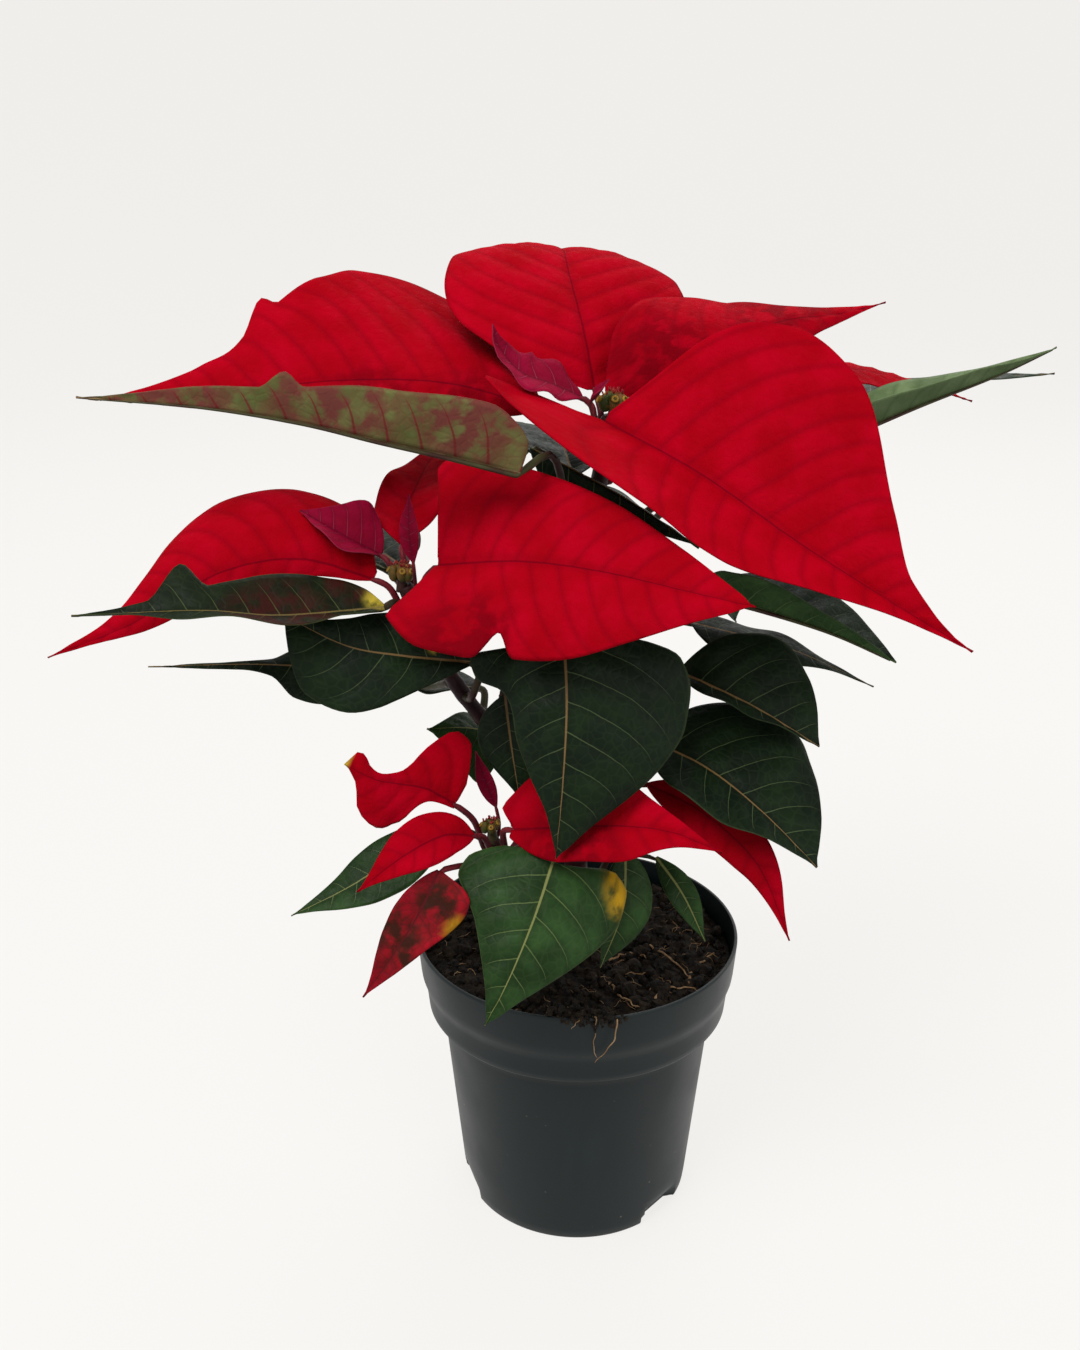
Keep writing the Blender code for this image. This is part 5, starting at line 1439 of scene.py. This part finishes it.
def grow_blade(name, leaf, seed):
    """The dressed blade of that name, on its stalk, in the place of its plain solid."""
    length = np.linalg.norm(np.diff(np.array(leaf["rib"], float), axis=0), axis=1).sum()
    rows = int(np.clip(length / ROW_STEP, 16, 110))
    columns = int(np.clip(max(leaf["width"]) / COLUMN_STEP, 5, 30))
    shares = np.linspace(0, 1, rows + 1) ** 1.3
    rib, along = route(leaf["rib"], shares)
    up = facing(along, leaf.get("face", (0, 0, 1)))
    halves, widths = zip(*[blade_half(leaf, side, shares, rib, along, up, columns) for side in (0, 1)])
    places = np.concatenate([halves[0][:, :0:-1], halves[1]], axis=1)

    # Where each vertex lies: its column, its share of the way out, and millimetres out and along
    order = np.arange(-columns, columns + 1)
    out = np.abs(order) / columns * np.ones((rows + 1, 1))
    half = np.where(order < 0, widths[0][:, None], widths[1][:, None])
    across = out * half * np.sign(order)
    run = shares[:, None] * length * np.ones_like(out)
    # The side veins are counted along the blade. They lean forwards, and those of the two
    # halves stand in each other's gaps
    veins = np.clip(length / VEIN_STEP, 6, 13)
    forward = (0.3 + 0.4 * shares[:, None]) * np.abs(across) + 0.22 * half * out**4
    number = (run - forward) * veins / length + np.where(order < 0, 0, 0.5)
    depth = QUILT[leaf["kind"]] * min(1, max(leaf["width"]) / 25)
    places = quilted(places, number, out, across, depth, seed * 7.3)

    # The grid with its maps. A corner on the midrib belongs to the half that its face is on
    blade, row, column = moved_grid("veined_" + name, rows, 2 * columns, places)
    mesh = blade.data
    corner = np.zeros(len(mesh.loops), np.int32)
    mesh.loops.foreach_get("vertex_index", corner)
    on_rib = column[corner] == columns
    left_face = np.repeat(column[corner].reshape(-1, 4).mean(axis=1) < columns, 4)
    at = (row[corner], column[corner])
    counted = number[at] - 0.5 * (on_rib & left_face)
    mesh.uv_layers[0].name = "veins"
    set_corner_map(mesh, "veins", np.stack([counted, out[at]], axis=1))
    set_corner_map(mesh, "blade", np.stack([run[at], across[at]], axis=1) * MM)
    point_values = {"along": shares[row]}
    for kind in ("yellow", "blush"):
        point_values[kind] = mark_values(name, kind, run, across, widths, length)[row, column]
    for kind, values in point_values.items():
        stored = mesh.attributes.new(kind, "FLOAT", "POINT").data
        stored.foreach_set("value", values.astype(np.float32))
    for finish in blade_finishes[OTHER_FINISH.get(name, leaf["kind"])]:
        mesh.materials.append(finish)
    wall = blade.modifiers.new("Thickness", "SOLIDIFY")
    wall.thickness = THICKNESS * MM
    wall.offset = 0
    wall.material_offset = 1
    bpy.ops.object.modifier_apply(modifier=wall.name)
    bpy.ops.object.shade_smooth()

    # The stalk, and the midrib below the groove, on the bisector of the two halves
    way, thick = stalk_centres(leaf)
    rib_radius = TIP_RIB + (0.62 * thick - TIP_RIB) * (1 - shares) ** 0.8
    slopes = [unit(side[:, 1] - rib) for side in halves]
    spread = slopes[1] - slopes[0]
    wedge = np.linalg.norm(spread, axis=1)[:, None] / 2
    below = unit(np.cross(spread, along))
    below *= np.sign((below * up).sum(axis=1))[:, None]
    under = rib - below * (rib_radius[:, None] + RIB_GROOVE - THICKNESS / 2 + 0.04) / wedge
    centres = np.vstack([way[:-1], under[2::2]])
    bare = np.interp(np.arange(len(way) - 1), (0, 2, len(way) - 2), (1.5 * thick, 1.1 * thick, thick))
    radii = np.concatenate([bare, rib_radius[2::2]])
    stalk = tube("stalk_" + name, centres, radii, 8)
    stalk.data.materials.append(red_stalk if "bract" in leaf["kind"] else green_stalk)
    made = joined("veined_" + name, [blade, stalk])
    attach(made, "root")
    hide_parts(name)
    return made

# %% Grow every blade
total = 0
for seed, (name, leaf) in enumerate(LEAVES.items()):
    total += len(grow_blade(name, leaf, seed).data.polygons)
print("blades:", len(LEAVES), "faces:", total)

# %% [markdown]
# ## Stem
#
# The stem forks low down into three. Each branch is a rolled tube that swells a little where a
# leaf grows from it. The branches are pushed into each other and then remeshed as one skin,
# which rounds the forks as growth does.

# %% Stem and branches
# Cells of the new skin, in millimetres, and how often it is smoothed
SKIN_CELL, SKIN_SMOOTHING = 0.55, 4
# How much a branch swells at a leaf, and along which share of its length
SWELL, SWELL_REACH = 0.16, 0.018

parts = []
for branch, (points, first_radius, last_radius) in STEM.items():
    shares = np.linspace(0, 1, 60)
    centres, _ = route(points, shares)
    radii = first_radius + (last_radius - first_radius) * shares
    for leaf in LEAVES.values():
        if leaf["on"][0] == branch:
            radii = radii * (1 + SWELL * np.exp(-(((shares - leaf["on"][1]) / SWELL_REACH) ** 2)))
    parts.append(tube(branch, centres, radii, 16))
stem = joined("bark_skinned_stem", parts)
skin = stem.modifiers.new("Skin", "REMESH")
skin.mode = "VOXEL"
skin.voxel_size = SKIN_CELL * MM
bpy.ops.object.modifier_apply(modifier=skin.name)
smooth = stem.modifiers.new("Smooth", "SMOOTH")
smooth.iterations = SKIN_SMOOTHING
bpy.ops.object.modifier_apply(modifier=smooth.name)
bpy.ops.object.shade_smooth()
stem.data.materials.clear()
stem.data.materials.append(bark)
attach(stem, "root")
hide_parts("stem")
print("stem faces:", len(stem.data.polygons))

# %% [markdown]
# ## Flower heads
#
# The true flowers are small: a cluster of waxy green cups above the bracts, each with a yellow
# lip of nectar and a tuft of red stamens. One cup is made from a ball that is drawn up to a
# puckered mouth, and it is copied by the rule that placed the plain cups.

# %% One cup with its lip and its stamens
CUP_SIDES, CUP_RINGS = 20, 14
STAMENS = 4
LIP_LEAN = np.radians(55)


def flower_cup(name, place, wide, high, turn):
    """One cup, its nectar lip and its stamens, as three pieces."""
    bpy.ops.object.select_all(action="DESELECT")
    bpy.ops.mesh.primitive_uv_sphere_add(segments=CUP_SIDES, ring_count=CUP_RINGS, radius=1)
    cup = bpy.context.object
    cup.name = name
    for vertex in cup.data.vertices:
        x, y, z = vertex.co
        around = np.arctan2(y, x)
        pucker = 1 + 0.06 * np.cos(5 * around) * (z > 0)
        mouth = 1 - 0.25 * smooth_step(z, 0.75, 1.0)
        dip = -0.35 * smooth_step(1 - np.hypot(x, y), 0.55, 0.95) * (z > 0)
        shaped = Vector((x * wide * pucker * mouth, y * wide * pucker * mouth, (z + dip) * high))
        vertex.co = (Vector(place) + shaped) * MM
    bpy.ops.object.shade_smooth()
    cup.data.materials.append(cup_skin)
    outwards = Vector((np.cos(turn) * wide * 0.9, np.sin(turn) * wide * 0.9, high * 0.45))
    bpy.ops.object.select_all(action="DESELECT")
    bpy.ops.mesh.primitive_torus_add(
        major_segments=16, minor_segments=8, major_radius=0.42 * wide * MM, minor_radius=0.2 * wide * MM,
        location=(Vector(place) + outwards) * MM, rotation=(0, LIP_LEAN, turn),
    )
    lip = bpy.context.object
    bpy.ops.object.transform_apply(location=True, rotation=True, scale=True)
    bpy.ops.object.shade_smooth()
    lip.data.materials.append(gland_skin)
    threads = []
    for k in range(STAMENS):
        lean = turn + k * 1.9
        foot = np.array(place) + (0, 0, high * 0.45)
        tip = foot + (np.cos(lean) * wide * 0.5, np.sin(lean) * wide * 0.5, high * 0.85)
        thread = tube(name + "_thread", np.linspace(foot, tip, 5), (0.14, 0.13, 0.12, 0.3, 0.12), 6)
        thread.data.materials.append(stamen_skin)
        threads.append(thread)
    return [cup, lip] + threads


print("stamens on a cup:", STAMENS)

# %% Gather the cups into heads
# Each cup stands a golden angle round from the last, as leaves and seeds do
GOLDEN_TURN = np.pi * (3 - 5**0.5)
for seed, (name, (centre, radius, cups)) in enumerate(HEADS.items()):
    draw = np.random.default_rng(seed)
    parts = []
    for k in range(cups):
        turn = k * GOLDEN_TURN + draw.uniform(-0.2, 0.2)
        spread = radius * 0.62 * np.sqrt((k + 0.2) / cups)
        high = draw.uniform(0.5, 0.62) * radius
        wide = draw.uniform(0.33, 0.4) * radius
        place = np.array(centre) + (spread * np.cos(turn), spread * np.sin(turn), -spread * 0.25)
        parts += flower_cup(f"{name}_cup_{k}", place, wide, high, turn)
    neck = np.array(centre) - (0, 0, 1)
    parts.append(tube(name + "_neck", np.linspace(neck - (0, 0, 6), neck, 6), np.linspace(2.0, 1.4, 6), 10))
    parts[-1].data.materials.append(green_stalk)
    head = joined("cups_of_" + name, parts)
    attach(head, "root")
    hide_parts(name)
    print(name, "faces:", len(head.data.polygons))
